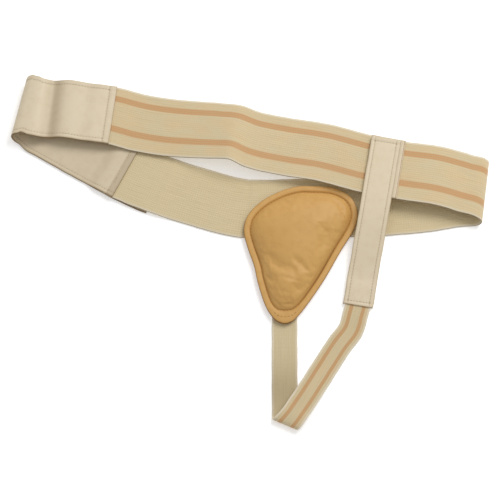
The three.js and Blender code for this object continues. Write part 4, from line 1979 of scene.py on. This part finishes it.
@dataclass
class Studio:
    """Pale floor, soft light and the camera."""

    elevation: float = 75.0
    distance: float = 1.6
    lens: float = 116.4

    def camera(self, target: Vector) -> None:
        """Sets the camera above a point of the floor.

        Args:
            target: the point.
        """
        angle = math.radians(self.elevation)
        data = bpy.data.cameras.new("camera")
        data.lens = self.lens
        data.sensor_width = 36.0
        data.sensor_fit = "HORIZONTAL"
        data.clip_end = 20.0
        eye = bpy.data.objects.new("camera", data)
        eye.location = target + Vector((0, -math.cos(angle), math.sin(angle))) * self.distance
        eye.rotation_euler = (math.pi / 2 - angle, 0, 0)
        bpy.context.scene.collection.objects.link(eye)
        bpy.context.scene.camera = eye

    def lamp(self, name: str, place: tuple[float, float, float], size: float, power: float) -> None:
        """Adds a square soft light that looks at the origin.

        Args:
            name: its name.
            place: where it is.
            size: its side in metres.
            power: its power in watts.
        """
        data = bpy.data.lights.new(name, "AREA")
        data.size = size
        data.energy = power
        light = bpy.data.objects.new(name, data)
        light.location = place
        light.rotation_euler = (-Vector(place)).to_track_quat("-Z", "Y").to_euler()
        bpy.context.scene.collection.objects.link(light)

    def floor(self) -> None:
        """Lays the floor."""
        side = 4.0
        corners = [(-side, -side, 0), (side, -side, 0), (side, side, 0), (-side, side, 0)]
        mesh = to_mesh("floor", np.array(corners) - [0, 0, FLOOR_DROP], [(0, 1, 2, 3)])
        s = Shader("pale_floor")
        glow = {"Emission_Strength": FLOOR_GLOW, "Specular_IOR_Level": 0.1}
        obj = link("floor", mesh, s.finish((0.95, 0.95, 0.95, 1), 0.9, **glow))

    def build(self, target: Vector) -> None:
        """Sets the stage.

        Args:
            target: the point that the camera looks at.
        """
        self.camera(target)
        self.floor()
        world = bpy.data.worlds.new("studio")
        world.use_nodes = True
        world.node_tree.nodes["Background"].inputs[0].default_value = (1.0, 1.0, 1.0, 1)
        world.node_tree.nodes["Background"].inputs[1].default_value = 0.5
        bpy.context.scene.world = world
        bpy.context.scene.view_settings.view_transform = "Standard"
        for lamp in LAMPS:
            self.lamp(*lamp)


def main() -> None:
    """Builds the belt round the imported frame."""
    logging.basicConfig(level=logging.INFO, format="%(message)s")
    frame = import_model()
    finishes = Finishes()
    belt = Belt(finishes)
    pad = Pad(finishes, belt.route)
    low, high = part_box("pad_backing")
    middle = (pad.ring.min(axis=0) + pad.ring.max(axis=0)) / 2
    shift = np.array([(low[k] + high[k]) / 2 / MM - middle[k] for k in (0, 1)] + [0.0])
    LOG.info("table to part: %.2f, %.2f mm", shift[0], shift[1])
    strap = LegStrap(finishes, belt.route, pad)
    studio = Studio()
    studio.build(Vector((shift[0] * MM, shift[1] * MM, 0)))
    stitching = Stitching(shift)
    for assembly in (belt, pad, strap):
        assembly.build(shift, stitching)
    hook = frame["nodes"]["hook_strip"]
    for slot in hook.material_slots:
        slot.material = finishes.hook


if __name__ == "__main__":
    main()
